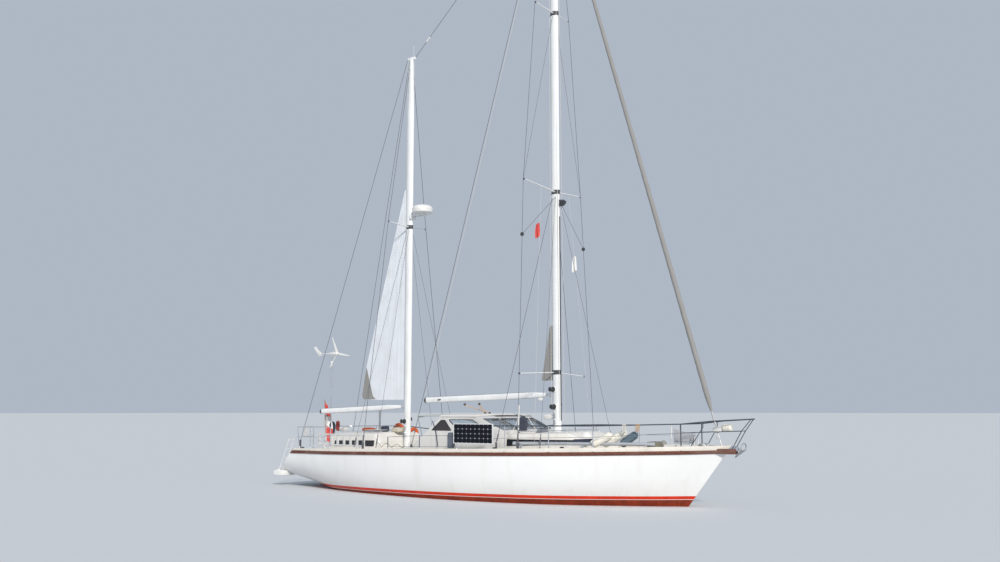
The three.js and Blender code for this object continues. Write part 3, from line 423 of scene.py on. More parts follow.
def hull_paint():
    """White topsides, and the stripes, each by its height over the rising boot line."""
    material, tree, shader = new_material("hull_gelcoat_paint")
    where = add(tree, "ShaderNodeTexCoord").outputs["Object"]
    axes = add(tree, "ShaderNodeSeparateXYZ", {0: where}).outputs
    rise = add(tree, "ShaderNodeMapRange", {
        "Value": axes["X"], "From Min": BOOT_AFT[0], "From Max": BOOT_FORE[0], "To Min": BOOT_AFT[1],
        "To Max": BOOT_FORE[1]})
    over = add(tree, "ShaderNodeMath", {0: axes["Z"], 1: rise.outputs[0]}, operation="SUBTRACT")
    worn = weathered(tree, HULL_WHITE, (0.60, 0.55, 0.46), tone=0.02, runs=0.22, scale=0.8, pitting=30.0)
    foul = weathered(tree, FOUL_RED, (0.05, 0.02, 0.01), tone=0.25, runs=0.7, scale=3.0, pitting=90.0)
    stripe = weathered(tree, STRIPE_RED, (0.34, 0.03, 0.01), tone=0.12, runs=0.5, scale=2.5, pitting=90.0)
    colour = foul.outputs["Colour"]
    for level, coat in [(0.0, worn), (STRIPE_LOW, stripe), (STRIPE_HIGH, worn)]:
        step = add(tree, "ShaderNodeMapRange", {
            "Value": over.outputs[0], "From Min": level - 0.001, "From Max": level + 0.001})
        colour = mixed(tree, step.outputs[0], colour, coat.outputs["Colour"])
    scum = add(tree, "ShaderNodeMapRange", {"Value": over.outputs[0], "From Min": 0.09, "From Max": 0.5,
                                            "To Min": 0.26, "To Max": 0.0})
    film = add(tree, "ShaderNodeTexNoise", {"Vector": where, "Scale": 1.7, "Detail": 6.0})
    above = add(tree, "ShaderNodeMath", {0: over.outputs[0], 1: STRIPE_HIGH}, operation="GREATER_THAN")
    band = add(tree, "ShaderNodeMath", {0: scum.outputs[0], 1: above.outputs[0]}, operation="MULTIPLY")
    grime = add(tree, "ShaderNodeMath", {0: band.outputs[0], 1: film.outputs["Fac"]}, operation="MULTIPLY")
    dirty = mixed(tree, grime.outputs[0], colour, (*SCUM_BROWN, 1))
    fair = add(tree, "ShaderNodeTexNoise", {"Vector": where, "Scale": 0.55, "Detail": 1.0})
    waves = add(tree, "ShaderNodeBump", {"Height": fair.outputs["Fac"], "Strength": 0.5, "Distance": 0.02})
    pitted = add(tree, "ShaderNodeBump", {
        "Height": worn.outputs["Height"], "Normal": waves.outputs[0], "Strength": 0.08, "Distance": 0.0008})
    rough = add(tree, "ShaderNodeMapRange", {
        "Value": over.outputs[0], "From Min": 0.0, "From Max": 0.02, "To Min": 0.75, "To Max": 0.30})
    wire_finish(tree, shader, dirty, rough, pitted)
    gloss = add(tree, "ShaderNodeMath", {0: above.outputs[0], 1: 0.18}, operation="MULTIPLY")
    tree.links.new(gloss.outputs[0], shader.inputs["Coat Weight"])
    shader.inputs["Specular IOR Level"].default_value = 0.35
    shader.inputs["Coat Roughness"].default_value = 0.2
    return material


hull_steps = [i / RING_STEPS for i in range(LAST_STATION * RING_STEPS + 1)]
hull_shell = place("hull_shell", cut(lofted([hull_ring(t) for t in hull_steps]), COCKPIT_CUTS), hull_paint(),
                   slot="hull_gelcoat")
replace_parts(hull_shell, "hull_fore", "hull_core", "hull_aft", "hull_side_port", "hull_side_starboard")


# Swim step
# A white step moulded on the transom's starboard corner, slotted for the ladder that folds
# down through it, with a lug at each side of the slot that carries the ladder's pin.

STEP_LOW, STEP_HIGH = (-7.190, -1.015, 0.300), (-6.780, -0.525, 0.450)
STEP_SLOT = ((-7.230, -0.879, 0.250), (-7.085, -0.641, 0.500))
LUGS = [((-7.130, -0.923, 0.360), (-7.040, -0.879, 0.477)),
        ((-7.130, -0.641, 0.360), (-7.040, -0.597, 0.477))]

step_paint = weathered_material("step_gelcoat", (0.80, 0.80, 0.78), 0.38, runs=0.3, scale=6.0, bump=0.2)
step_mesh = cut(block(STEP_LOW, STEP_HIGH, 0.022, 3), [STEP_SLOT])
place("moulded_swim_step", joined([step_mesh, *[block(low, high, 0.008) for low, high in LUGS]]), step_paint,
      slot="hull_gelcoat")


# Rub strakes and bow platform
# Hardwood strakes screwed along both sides just under the toe rail, stained dark brown, and
# a short platform of the same wood bolted round the stem head for the anchor roller.

STRAKE_TALL, STRAKE_PROUD = 0.084, 0.032
STRAKE_ENDS, STRAKE_STEPS = (0.02, 12.9), 104
PLATFORM = [(6.450, 0.150), (6.720, 0.150), (6.835, 0.128), (6.870, 0.095)]
PLATFORM_LOW, PLATFORM_HIGH = 1.226, 1.345
BARE_WOOD = (0.36, 0.30, 0.25)


def grain_group():
    """Shader group: long streaks of wood along x, with a colour, a mask and a height."""
    group, given, where = shader_group("wood_grain",
                                       [("Light", "NodeSocketColor", (0.3, 0.15, 0.08, 1)),
                                        ("Dark", "NodeSocketColor", (0.1, 0.05, 0.03, 1)),
                                        ("Scale", "NodeSocketFloat", 4.0), ("Wear", "NodeSocketFloat", 0.2)])
    stretched = add(group, "ShaderNodeMapping", {"Vector": where, "Scale": (0.35, 9.0, 9.0)})
    streaks = add(group, "ShaderNodeTexNoise", {
        "Vector": stretched.outputs[0], "Scale": given["Scale"], "Detail": 6.0, "Distortion": 0.6})
    mask = add(group, "ShaderNodeMapRange",
               {"Value": streaks.outputs["Fac"], "From Min": 0.32, "From Max": 0.68})
    tone = mixed(group, mask.outputs[0], given["Light"], given["Dark"])
    patches = add(group, "ShaderNodeTexNoise", {"Vector": where, "Scale": 1.3, "Detail": 4.0})
    bare = add(group, "ShaderNodeMapRange", {
        "Value": patches.outputs["Fac"], "From Min": 0.5, "From Max": 0.72, "To Max": given["Wear"]})
    worn = mixed(group, bare.outputs[0], tone, (*BARE_WOOD, 1))
    add(group, "NodeGroupOutput",
        {"Colour": worn, "Mask": mask.outputs[0], "Height": streaks.outputs["Fac"]})
    return group


GRAIN = grain_group()


def wood(name, light, dark, scale=4.0, wear=0.25, roughness=0.45, bump=0.3):
    """A wood of two tones with its grain along the boat."""
    material, tree, shader = new_material(name)
    grain = add(tree, "ShaderNodeGroup", {"Light": (*light, 1), "Dark": (*dark, 1), "Scale": scale,
                                          "Wear": wear}, node_tree=GRAIN)
    rough = add(tree, "ShaderNodeMapRange", {
        "Value": grain.outputs["Mask"], "To Min": roughness, "To Max": min(roughness + 0.2, 1.0)})
    relief = add(tree, "ShaderNodeBump",
                 {"Height": grain.outputs["Height"], "Strength": bump, "Distance": 0.002})
    wire_finish(tree, shader, grain.outputs["Colour"], rough, relief)
    return material


def plate(outline, low, high, bevel=0.0, plane="xy", steps=2):
    """A flat body from an outline in one plane, thick from low to high across it."""
    lift = {"xy": lambda a, b, c: (a, b, c), "xz": lambda a, b, c: (a, c, b),
            "yz": lambda a, b, c: (c, a, b)}[plane]
    shape = bmesh.new()
    rims = [[shape.verts.new(lift(a, b, level)) for a, b in outline] for level in (low, high)]
    for rim in rims:
        shape.faces.new(rim)
    for i in range(len(outline)):
        j = (i + 1) % len(outline)
        shape.faces.new((rims[0][i], rims[0][j], rims[1][j], rims[1][i]))
    bmesh.ops.recalc_face_normals(shape, faces=shape.faces)
    round_edges(shape, bevel, steps)
    return mesh_of(shape)


def strake_ring(t, side):
    """The strake's section at t on one side, with softened outer edges."""
    row = station(t)
    beam, sheer = row[1], row[2]
    low, high, out = sheer - STRAKE_TALL - 0.004, sheer - 0.004, beam + STRAKE_PROUD
    section = [(beam - 0.002, low), (out - 0.014, low), (out - 0.004, low + 0.006), (out, low + 0.020),
               (out, high - 0.020), (out - 0.004, high - 0.006), (out - 0.014, high), (beam - 0.002, high)]
    return [raked(row, side * y, z) for y, z in section]


strake_wood = wood("strake_wood", (0.185, 0.055, 0.032), (0.080, 0.024, 0.015), scale=5.0,
                   wear=0.22, roughness=0.58)
strake_steps = np.linspace(*STRAKE_ENDS, STRAKE_STEPS)
for side, name in ((-1, "starboard"), (1, "port")):
    strake_piece = place(f"{name}_strake", lofted([strake_ring(t, side) for t in strake_steps]),
                         strake_wood, slot="strake")
    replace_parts(strake_piece, f"rub_strake_{name}")
platform_outline = PLATFORM + [(x, -y) for x, y in reversed(PLATFORM)]
platform_piece = place("stem_platform", plate(platform_outline, PLATFORM_LOW, PLATFORM_HIGH, 0.012, steps=3),
                       strake_wood, slot="strake")
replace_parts(platform_piece, "bow_platform")


# Deck
# A glass-fibre deck bonded to the hull, cream, with a fine non-slip pattern, and a moulded
# toe rail that rises a little from the stern to the bow.

TOE_STERN, TOE_BOW, TOE_WIDE = 0.060, 0.100, 0.050
DECK_THICK = 0.030
DECK_ACROSS = [math.cos(i / 12 * math.pi) for i in range(1, 12)]


def toe_rail(x):
    """Height of the toe rail over the sheer at x."""
    start, end = STATIONS[0][0], STATIONS[-1][0]
    return TOE_STERN + (x - start) / (end - start) * (TOE_BOW - TOE_STERN)


def deck_ring(t):
    """The deck's section at t: a toe rail at each side, the cambered top and the underside."""
    row = station(t)
    x, beam, sheer = row[0], row[1], row[2]
    inner = max(beam - TOE_WIDE, beam * 0.4)
    high = sheer + toe_rail(x)
    soft = min(0.012, (beam - inner) * 0.3)

    def rise(y):
        return sheer + CAMBER * beam * (1 - (y / beam) ** 2)

    rail = [(beam, sheer - DECK_THICK), (beam, high - soft),
            (beam - soft * 0.3, high - soft * 0.3), (beam - soft, high), (inner + soft, high),
            (inner + soft * 0.3, high - soft * 0.3), (inner, high - soft), (inner, rise(inner) + soft),
            (inner - soft * 0.4, rise(inner) + soft * 0.3)]
    top = [(inner * 0.97 * f, rise(inner * 0.97 * f)) for f in DECK_ACROSS]
    under = [(beam * f, rise(beam * f) - DECK_THICK) for f in reversed(DECK_ACROSS)]
    other = [(-y, z) for y, z in reversed(rail)]
    return [raked(row, y, z) for y, z in [*rail, *top, *other, *under]]


def stern_rail():
    """The toe rail's piece across the transom's top edge."""
    row = STATIONS[0]
    beam, sheer = row[1], row[2]
    rings = []
    for f in np.linspace(-1, 1, 25):
        low, high = sheer + CAMBER * beam * (1 - f * f) - DECK_THICK / 2, sheer + TOE_STERN
        square = [(0.003, low), (0.003, high - 0.008), (0.011, high), (TOE_WIDE - 0.008, high),
                  (TOE_WIDE, high - 0.008), (TOE_WIDE, low)]
        ring = []
        for inward, z in square:
            x, y, _ = raked(row, f * (beam - TOE_WIDE / 2), z)
            ring.append((x + inward, y, z))
        rings.append(ring)
    return lofted(rings)


def non_slip(name, colour, roughness=0.6, pattern=260.0, **worn):
    """Gelcoat with a fine moulded pattern of small flat-topped studs."""
    material = weathered_material(name, colour, roughness, **worn)
    tree = material.node_tree
    shader = next(node for node in tree.nodes if node.type == "BSDF_PRINCIPLED")
    where = add(tree, "ShaderNodeTexCoord").outputs["Object"]
    studs = add(tree, "ShaderNodeTexVoronoi", {"Vector": where, "Scale": pattern, "Randomness": 0.15})
    raised = add(tree, "ShaderNodeMapRange",
                 {"Value": studs.outputs["Distance"], "From Min": 0.25, "From Max": 0.5})
    relief = add(tree, "ShaderNodeBump",
                 {"Height": raised.outputs[0], "Normal": shader.inputs["Normal"].links[0].from_socket,
                  "Strength": 0.25, "Distance": 0.0008})
    tree.links.new(relief.outputs[0], shader.inputs["Normal"])
    return material


DECK_CREAM = (0.74, 0.70, 0.63)
deck_paint = non_slip("deck_gelcoat_paint", DECK_CREAM, runs=0.25, tone=0.06, scale=1.6,
                      stain=(0.33, 0.27, 0.19))
deck_mesh = joined([lofted([deck_ring(t) for t in hull_steps]), stern_rail()])
deck_shell = place("deck_shell", cut(deck_mesh, [COCKPIT_CUTS[0], COCKPIT_CUTS[3]]),
                   deck_paint, slot="deck_gelcoat")
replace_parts(deck_shell, "deck_fore", "deck_aft", "side_deck_port", "side_deck_starboard")


# Keel, skeg, rudder and drive
# An iron fin keel bolted under the hull, a moulded skeg with the rudder behind it, and the
# drive leg, all under red-brown antifouling, with a bronze propeller and an iron engine.

FOIL_POINTS = 18
# Rows of a fin, top to foot: x of the nose, chord, half thickness and z.
KEEL_ROWS = [(1.750, 3.800, 0.190, -0.500), (1.450, 3.250, 0.165, -1.350), (1.250, 2.950, 0.185, -1.860),
             (1.180, 2.850, 0.150, -1.980)]
SKEG_ROWS = [(-3.900, 0.820, 0.070, -0.150), (-4.240, 0.470, 0.055, -0.900), (-4.380, 0.330, 0.042, -1.480)]
RUDDER_ROWS = [(-4.735, 0.640, 0.052, -0.330), (-4.735, 0.560, 0.048, -1.000),
               (-4.735, 0.440, 0.040, -1.600)]


def foil_ring(nose, chord, half, z):
    """A streamlined section: round at the nose, fullest at a third, thin at the tail."""
    port = []
    for i in range(FOIL_POINTS + 1):
        f = (1 - math.cos(i / FOIL_POINTS * math.pi)) / 2
        thick = 9.99 * (0.2969 * math.sqrt(f) - 0.126 * f - 0.3516 * f ** 2
                        + 0.2843 * f ** 3 - 0.1015 * f ** 4)
        port.append((nose - chord * f, half * max(thick, 0.03), z))
    return port + [(x, -y, z) for x, y, z in reversed(port[1:-1])]


def foil(rows):
    """A fin through its rows of sections, with three more between each two."""
    rings = []
    for a, b in zip(rows, rows[1:]):
        rings += [foil_ring(*[u + (v - u) * k / 4 for u, v in zip(a, b)]) for k in range(4)]
    return lofted([*rings, foil_ring(*rows[-1])])


antifouling = weathered_material("antifouling_paint", FOUL_RED, 0.85, stain=(0.06, 0.035, 0.02), tone=0.3,
                                 runs=0.8, scale=3.0, pitting=90.0, bump=0.4, depth=0.002)
bronze = weathered_material("propeller_bronze", (0.52, 0.33, 0.13), 0.35, stain=(0.12, 0.22, 0.16), tone=0.2,
                            runs=0.6, scale=14.0, pitting=200.0, metallic=1.0)
engine_paint = weathered_material("engine_paint", (0.10, 0.13, 0.15), 0.5, tone=0.15, runs=0.5, scale=6.0,
                                  pitting=150.0, metallic=0.3)
for name, rows, node, body in [("keel_fin", KEEL_ROWS, "keel", "root"),
                               ("skeg_fin", SKEG_ROWS, "skeg", "root"),
                               ("rudder_blade", RUDDER_ROWS, "rudder", "rudder")]:
    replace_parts(place(name, foil(rows), antifouling, body=body, slot="antifouling"), node)


def dress(material, *names):
    """Gives CAD nodes a material in place of their plain one."""
    for name in names:
        nodes[name].data.materials.clear()
        nodes[name].data.materials.append(material)


dress(antifouling, "drive_leg")
dress(bronze, "propeller")
dress(engine_paint, "engine")


# Cockpit
# A self-draining cockpit with a teak sole laid in strips, a stainless wheel on the housing
# of the steering gear, a teak door with two panels, and treads down into the cabin.

SOLE_LOW, SOLE_HIGH = (-1.175, -0.355, 0.6004), (0.515, 0.355, 0.626)
SOLE_STRIPS = 12
WHEEL_AT, WHEEL_RADIUS = Vector((0.470, 0.620, 1.370)), 0.290
DOOR_AFT, DOOR_FORE = 0.590, 0.612
# The door's stiles and rails: two corners of each in the y-z plane.
DOOR_FRAME = [((-0.285, 0.690), (-0.225, 1.480)),
              ((0.225, 0.690), (0.285, 1.480)), ((-0.225, 0.690), (0.225, 0.760)),
              ((-0.225, 1.410), (0.225, 1.480)), ((-0.225, 1.050), (0.225, 1.110))]
# Treads: x of the two edges and z of the top.
TREADS = [(0.640, 0.760, 0.960), (0.780, 0.900, 0.820), (0.920, 1.050, 0.715)]
TREAD_HALF, TREAD_THICK = 0.26, 0.022


def geometry_tree(name, inputs):
    """An empty geometry tree with named inputs, each with its kind and value."""
    tree = bpy.data.node_groups.new(name, "GeometryNodeTree")
    tree.interface.new_socket(name="Geometry", in_out="INPUT", socket_type="NodeSocketGeometry")
    tree.interface.new_socket(name="Geometry", in_out="OUTPUT", socket_type="NodeSocketGeometry")
    for label, kind, value in inputs:
        socket = tree.interface.new_socket(name=label, in_out="INPUT", socket_type=kind)
        if value is not None:
            socket.default_value = value
    return tree, add(tree, "NodeGroupInput").outputs


def finish_tree(tree, geometry, finish):
    """Ends a geometry tree: instances made real, and the material set."""
    real = add(tree, "GeometryNodeRealizeInstances", {0: geometry})
    dressed = add(tree, "GeometryNodeSetMaterial", {"Geometry": real.outputs[0], "Material": finish})
    add(tree, "NodeGroupOutput", {0: dressed.outputs[0]})


def grown(seed_mesh, tree, values):
    """The plain mesh that a geometry tree makes of a mesh, with its inputs given by name."""
    def use_tree(seed):
        modifier = seed.modifiers.new("grown", "NODES")
        modifier.node_group = tree
        for item in tree.interface.items_tree:
            if item.item_type == "SOCKET" and item.in_out == "INPUT" and item.name in values:
                modifier[item.identifier] = values[item.name]
    return evaluated(seed_mesh, use_tree)


def tube_tree():
    """Geometry nodes: every line of the mesh becomes a round tube with rounded bends."""
    tree, given = geometry_tree("tube", [("Radius", "NodeSocketFloat", 0.012),
                                         ("Sides", "NodeSocketInt", 12), ("Bend", "NodeSocketFloat", 0.0),
                                         ("Finish", "NodeSocketMaterial", None)])
    line = add(tree, "GeometryNodeMeshToCurve", {"Mesh": given["Geometry"]})
    bent = add(tree, "GeometryNodeFilletCurve", {
        "Curve": line.outputs[0], "Radius": given["Bend"], "Limit Radius": True, "Count": 5}, mode="POLY")
    ring = add(tree, "GeometryNodeCurvePrimitiveCircle",
               {"Resolution": given["Sides"], "Radius": given["Radius"]})
    swept = add(tree, "GeometryNodeCurveToMesh", {
        "Curve": bent.outputs[0], "Profile Curve": ring.outputs[0], "Fill Caps": True})
    finish_tree(tree, swept.outputs[0], given["Finish"])
    return tree


TUBE = tube_tree()


def tubes(paths, radius, finish, bend=0.0, sides=12, closed=False):
    """Round tubes along paths of points."""
    verts, edges = [], []
    for path in paths:
        first = len(verts)
        verts += [tuple(p) for p in path]
        edges += [(first + i, first + i + 1) for i in range(len(path) - 1)]
        if closed:
            edges.append((len(verts) - 1, first))
    seed = bpy.data.meshes.new("lines")
    seed.from_pydata(verts, edges, [])
    mesh = grown(seed, TUBE, {"Radius": radius, "Sides": sides, "Bend": bend, "Finish": finish})
    return joined([mesh])


def row_tree():
    """Geometry nodes: a row of boxes of one size, each a step on from the last."""
    tree, given = geometry_tree("row", [
        ("Count", "NodeSocketInt", 4), ("Start", "NodeSocketVector", (0, 0, 0)),
        ("Step", "NodeSocketVector", (1, 0, 0)), ("Size", "NodeSocketVector", (1, 1, 1)),
        ("Finish", "NodeSocketMaterial", None)])
    line = add(tree, "GeometryNodeMeshLine", {
        "Count": given["Count"], "Start Location": given["Start"], "Offset": given["Step"]})
    box = add(tree, "GeometryNodeMeshCube", {"Size": given["Size"]})
    placed = add(tree, "GeometryNodeInstanceOnPoints",
                 {"Points": line.outputs[0], "Instance": box.outputs[0]})
    finish_tree(tree, placed.outputs[0], given["Finish"])
    return tree


ROW = row_tree()


def softened(mesh, bevel, steps=2, angle=30.0):
    """The mesh with its sharp edges rounded."""
    def use_bevel(seed):
        modifier = seed.modifiers.new("bevel", "BEVEL")
        modifier.width, modifier.segments = bevel, steps
        modifier.limit_method, modifier.angle_limit = "ANGLE", math.radians(angle)
    return evaluated(mesh, use_bevel)


def row_of_boxes(count, start, step, size, finish, bevel=0.0):
    """A row of equal boxes with rounded edges."""
    seed = bpy.data.meshes.new("seed")
    mesh = joined([grown(seed, ROW, {"Count": count, "Start": start, "Step": step,
                                     "Size": size, "Finish": finish})])
    return softened(mesh, bevel) if bevel else mesh


def turned(start, end, profile, sides=24):
    """A round body about a line. Profile rows: fraction of the way along, radius."""
    start, end = Vector(start), Vector(end)
    turn = (end - start).to_track_quat("Z", "Y").to_matrix()
    rings = []
    for along, radius in profile:
        centre = start.lerp(end, along)
        rings.append([centre + turn @ Vector((radius * math.cos(a), radius * math.sin(a), 0))
                      for a in around(sides)])
    return lofted(rings)


teak = wood("oiled_teak", (0.33, 0.19, 0.09), (0.20, 0.11, 0.05), scale=7.0, wear=0.3, roughness=0.55)
stainless = weathered_material("polished_stainless", (0.78, 0.79, 0.81), 0.24, stain=(0.35, 0.27, 0.2),
                               tone=0.06, runs=0.25, scale=8.0, pitting=300.0, bump=0.08, metallic=1.0)
caulking = weathered_material("black_caulking", (0.02, 0.02, 0.022), 0.7, runs=0.1,
                              scale=20.0, pitting=400.0)

sole_bed = place("sole_bed", block(SOLE_LOW, (SOLE_HIGH[0], SOLE_HIGH[1], SOLE_HIGH[2] - 0.004), 0.002),
                 caulking, slot="teak")
strip = (SOLE_HIGH[1] - SOLE_LOW[1]) / SOLE_STRIPS
sole_strips = row_of_boxes(
    SOLE_STRIPS, ((SOLE_LOW[0] + SOLE_HIGH[0]) / 2, SOLE_LOW[1] + strip / 2, 0.6165), (0, strip, 0),
    (SOLE_HIGH[0] - SOLE_LOW[0], strip - 0.005, 0.019), teak, bevel=0.001)
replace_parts(place("sole_strips", sole_strips, teak, slot="teak"), "cockpit_sole")
tread_parts = [block((x0, -TREAD_HALF, z - TREAD_THICK), (x1, TREAD_HALF, z), 0.006) for x0, x1, z in TREADS]
place("companion_treads", joined(tread_parts), teak, slot="teak")

rim_path = [(WHEEL_AT.x, WHEEL_AT.y + WHEEL_RADIUS * math.cos(a), WHEEL_AT.z + WHEEL_RADIUS * math.sin(a))
            for a in around(56)]
spoke_angles = [(i / 5) * 2 * math.pi + math.pi / 2 for i in range(5)]
spokes = [[WHEEL_AT, WHEEL_AT + Vector((0, math.cos(a), math.sin(a))) * WHEEL_RADIUS] for a in spoke_angles]
hub = turned(WHEEL_AT - Vector((0.03, 0, 0)), WHEEL_AT + Vector((0.055, 0, 0)),
             [(0, 0.030), (0.1, 0.044), (0.5, 0.045), (0.9, 0.040), (1, 0.036)])
wheel_mesh = joined([tubes([rim_path], 0.0135, stainless, closed=True),
                     tubes(spokes, 0.008, stainless), hub])
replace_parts(place("steering_wheel", wheel_mesh, stainless, body="helm", slot="stainless"), "helm_wheel")

door_parts = [block((DOOR_AFT + 0.007, -0.24, 0.73), (DOOR_FORE - 0.007, 0.24, 1.44), 0.001)]
door_parts += [block((DOOR_AFT, *low), (DOOR_FORE, *high), 0.003) for low, high in DOOR_FRAME]
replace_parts(place("panelled_door", joined(door_parts), teak, body="companion_door",
                  slot="teak"), "companion_door")


# Coachroof and aft trunk
# Cabin tops moulded with the deck: cream non-slip tops with rounded shoulders, long smoked
# acrylic windows bonded along the sides, hand rails on top, and a coaming for the hatch.

# Rows, aft to fore: x, half width at the deck, half width at the top, height of the shoulder.
COACHROOF = [(0.640, 1.190, 1.150, 1.600), (1.330, 1.190, 1.140, 1.615), (1.600, 1.180, 1.120, 1.622),
             (2.400, 1.080, 1.000, 1.645), (2.950, 0.930, 0.850, 1.655), (3.480, 0.700, 0.640, 1.400)]
AFT_TRUNK = [(-5.150, 0.780, 0.700, 1.500), (-4.900, 0.820, 0.740, 1.540), (-3.250, 1.010, 0.930, 1.560),
             (-3.060, 1.010, 0.930, 1.330)]
TRUNK_FOOT = 1.080
HATCH_COAMING = ((1.425, -0.690, 1.560), (1.790, -0.285, 1.668))
HATCH_WELL = ((1.450, -0.665, 1.560), (1.765, -0.310, 1.720))
STEERING_BOX = ((0.532, 0.490, 1.260), (0.660, 0.750, 1.480))


def row_at(rows, x):
    """The row's values at x, on straight lines between the rows."""
    table = np.array(rows)
    return [float(np.interp(x, table[:, 0], table[:, k])) for k in range(1, table.shape[1])]


def trunk_ring(x, low, high, top):
    """A section of a cabin top, with a rounded shoulder."""
    reach, drop = (low - high) / (top - TRUNK_FOOT), 0.05
    side = [(low, TRUNK_FOOT), (high + reach * drop, top - drop)]
    shoulder = [(high + 0.004 - 0.042 * (1 - math.cos(a)), top - drop + 0.052 * math.sin(a))
                for a in np.linspace(0.25, math.pi / 2, 6)]
    crown = [(high * f, top + 0.038 * (1 - f * f)) for f in (0.85, 0.6, 0.3)]
    port = side + shoulder + crown
    return [(x, y, z) for y, z in port] + [(x, 0, top + 0.038)] + [(x, -y, z) for y, z in reversed(port)]


def trunk(rows):
    """A cabin top through its rows, its ends a little rounded."""
    places = np.unique(np.concatenate([
        np.linspace(a[0], b[0], 9) for a, b in zip(rows, rows[1:])]))
    return lofted([trunk_ring(x, *row_at(rows, x)) for x in places])


def side_pane(rows, start, end, fore, aft, side, proud=0.005, steps=18):
    """A long window bonded on the side of a cabin top, with its low and high edge at each end."""
    rings = []
    for x in np.linspace(start, end, steps):
        foot, top_half, top = row_at(rows, x)
        low, high = (float(np.interp(x, (start, end), pair)) for pair in zip(aft, fore))
        y = [foot + (top_half - foot) * (z - TRUNK_FOOT) / (top - TRUNK_FOOT) for z in (low, high)]
        rings.append([(x, side * (y[0] - 0.012), low), (x, side * (y[0] + proud), low),
                      (x, side * (y[1] + proud), high), (x, side * (y[1] - 0.012), high)])
    return lofted(rings)


def hand_rail(x_points, y, rise, side, finish, foot_height):
    """A round rail on short legs along a cabin top."""
    z = [foot_height(x) for x in x_points]
    rail = [(x, side * y, h + rise) for x, h in zip(x_points, z)]
    rail = [(x_points[0] - 0.03, side * y, z[0]), *rail, (x_points[-1] + 0.03, side * y, z[-1])]
    legs = [[(x, side * y, h), (x, side * y, h + rise)] for x, h in zip(x_points[1:-1], z[1:-1])]
    return joined([tubes([rail], 0.011, finish, bend=0.03), tubes(legs, 0.009, finish)])


top_paint = non_slip("cabin_top_gelcoat", (0.72, 0.70, 0.66), runs=0.22, tone=0.05, scale=1.8, pattern=220.0)
smoked = weathered_material("smoked_acrylic", (0.015, 0.017, 0.022), 0.12, stain=(0.1, 0.1, 0.1), tone=0.1,
                            runs=0.15, scale=5.0, pitting=300.0, bump=0.03, coat=0.3)
roof_parts = [cut(joined([trunk(COACHROOF)]), [HATCH_WELL, COCKPIT_CUTS[3]])]
roof_parts.append(cut(block(*HATCH_COAMING, 0.006), [HATCH_WELL]))
roof_parts.append(block(*STEERING_BOX, 0.02, 3))
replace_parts(place("cabin_top", joined(roof_parts), top_paint, slot="deck_gelcoat"), "coachroof")
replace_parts(place("aft_cabin_top", trunk(AFT_TRUNK), top_paint, slot="deck_gelcoat"), "aft_trunk")
panes = [side_pane(COACHROOF, 1.345, 3.33, (1.400, 1.500), (1.330, 1.500), side) for side in (-1, 1)]
panes += [side_pane(AFT_TRUNK, -4.93, -3.24, (1.222, 1.386), (1.190, 1.352), side) for side in (-1, 1)]
place("cabin_windows", joined(panes), smoked, slot="smoked_glass")
rails = [hand_rail([1.45, 1.95, 2.45, 2.85], 0.80, 0.055, side, stainless,
                   lambda x: row_at(COACHROOF, x)[2] + 0.012) for side in (-1, 1)]
rails += [hand_rail([-4.75, -4.2, -3.65], 0.62, 0.05, side, stainless,
                    lambda x: row_at(AFT_TRUNK, x)[2] + 0.018) for side in (-1, 1)]
place("cabin_hand_rails", joined(rails), stainless, slot="stainless")


# Doghouse
# Fixed side walls and a raked windscreen of glass fibre round the fore end of the cockpit,
# with dark acrylic quarter windows, side windows, three glass panes and rubber seals.

WALL_HALF, WALL_THICK = 1.240, 0.040
QUARTER_WINDOW = [(-1.000, 1.690), (-0.680, 1.955), (-0.545, 1.955), (-0.330, 1.690)]
SIDE_WINDOW = [(-0.440, 1.975), (0.330, 1.975), (0.780, 1.745), (0.780, 1.700), (-0.130, 1.700)]
SCREEN_TOP, SCREEN_FOOT = (0.480, 2.045), (1.290, 1.690)
SCREEN_PANES = [(-1.130, -0.430), (-0.370, 0.370), (0.430, 1.130)]


def refined(node, name, material, bevel=0.004, slot=None, steps=2, keep=()):
    """A CAD node's shape with its edges rounded, riding on the node's body."""
    shape = bmesh.new()
    shape.from_mesh(nodes[node].data)
    bmesh.ops.remove_doubles(shape, verts=shape.verts, dist=2e-5)
    bmesh.ops.dissolve_limit(shape, angle_limit=math.radians(1.2), verts=shape.verts, edges=shape.edges)
    mesh = softened(mesh_of(shape, name), bevel, steps)
    piece = place(name, mesh, material, body=nodes[node]["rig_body"], slot=slot)
    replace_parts(piece, node, *keep)
    return piece


def outline_seal(outline, y):
    """A window's outline as a path in the plane of one y."""
    return [(x, y, z) for x, z in outline]


white_gelcoat = weathered_material("doghouse_gelcoat", (0.655, 0.65, 0.635), 0.4, runs=0.25, tone=0.05,
                                   scale=2.2, stain=(0.38, 0.33, 0.25), pitting=50.0, bump=0.12)
rubber = weathered_material("black_rubber", (0.02, 0.02, 0.022), 0.6, runs=0.1, scale=12.0, pitting=250.0)
dark_pane = weathered_material("dark_acrylic", (0.035, 0.028, 0.030), 0.14, stain=(0.12, 0.1, 0.1), tone=0.1,
                               runs=0.2, scale=5.0, pitting=300.0, bump=0.03, coat=0.4)
clear_glass, tree, shader = new_material("toughened_glass")
film = add(tree, "ShaderNodeTexNoise",
           {"Vector": add(tree, "ShaderNodeTexCoord").outputs["Object"], "Scale": 7.0})
haze = add(tree, "ShaderNodeMapRange", {"Value": film.outputs["Fac"], "To Min": 0.02, "To Max": 0.14})
tree.links.new(haze.outputs[0], shader.inputs["Roughness"])
shader.inputs["Base Color"].default_value = (0.66, 0.74, 0.80, 1)
shader.inputs["Transmission Weight"].default_value = 0.85
shader.inputs["IOR"].default_value = 1.45

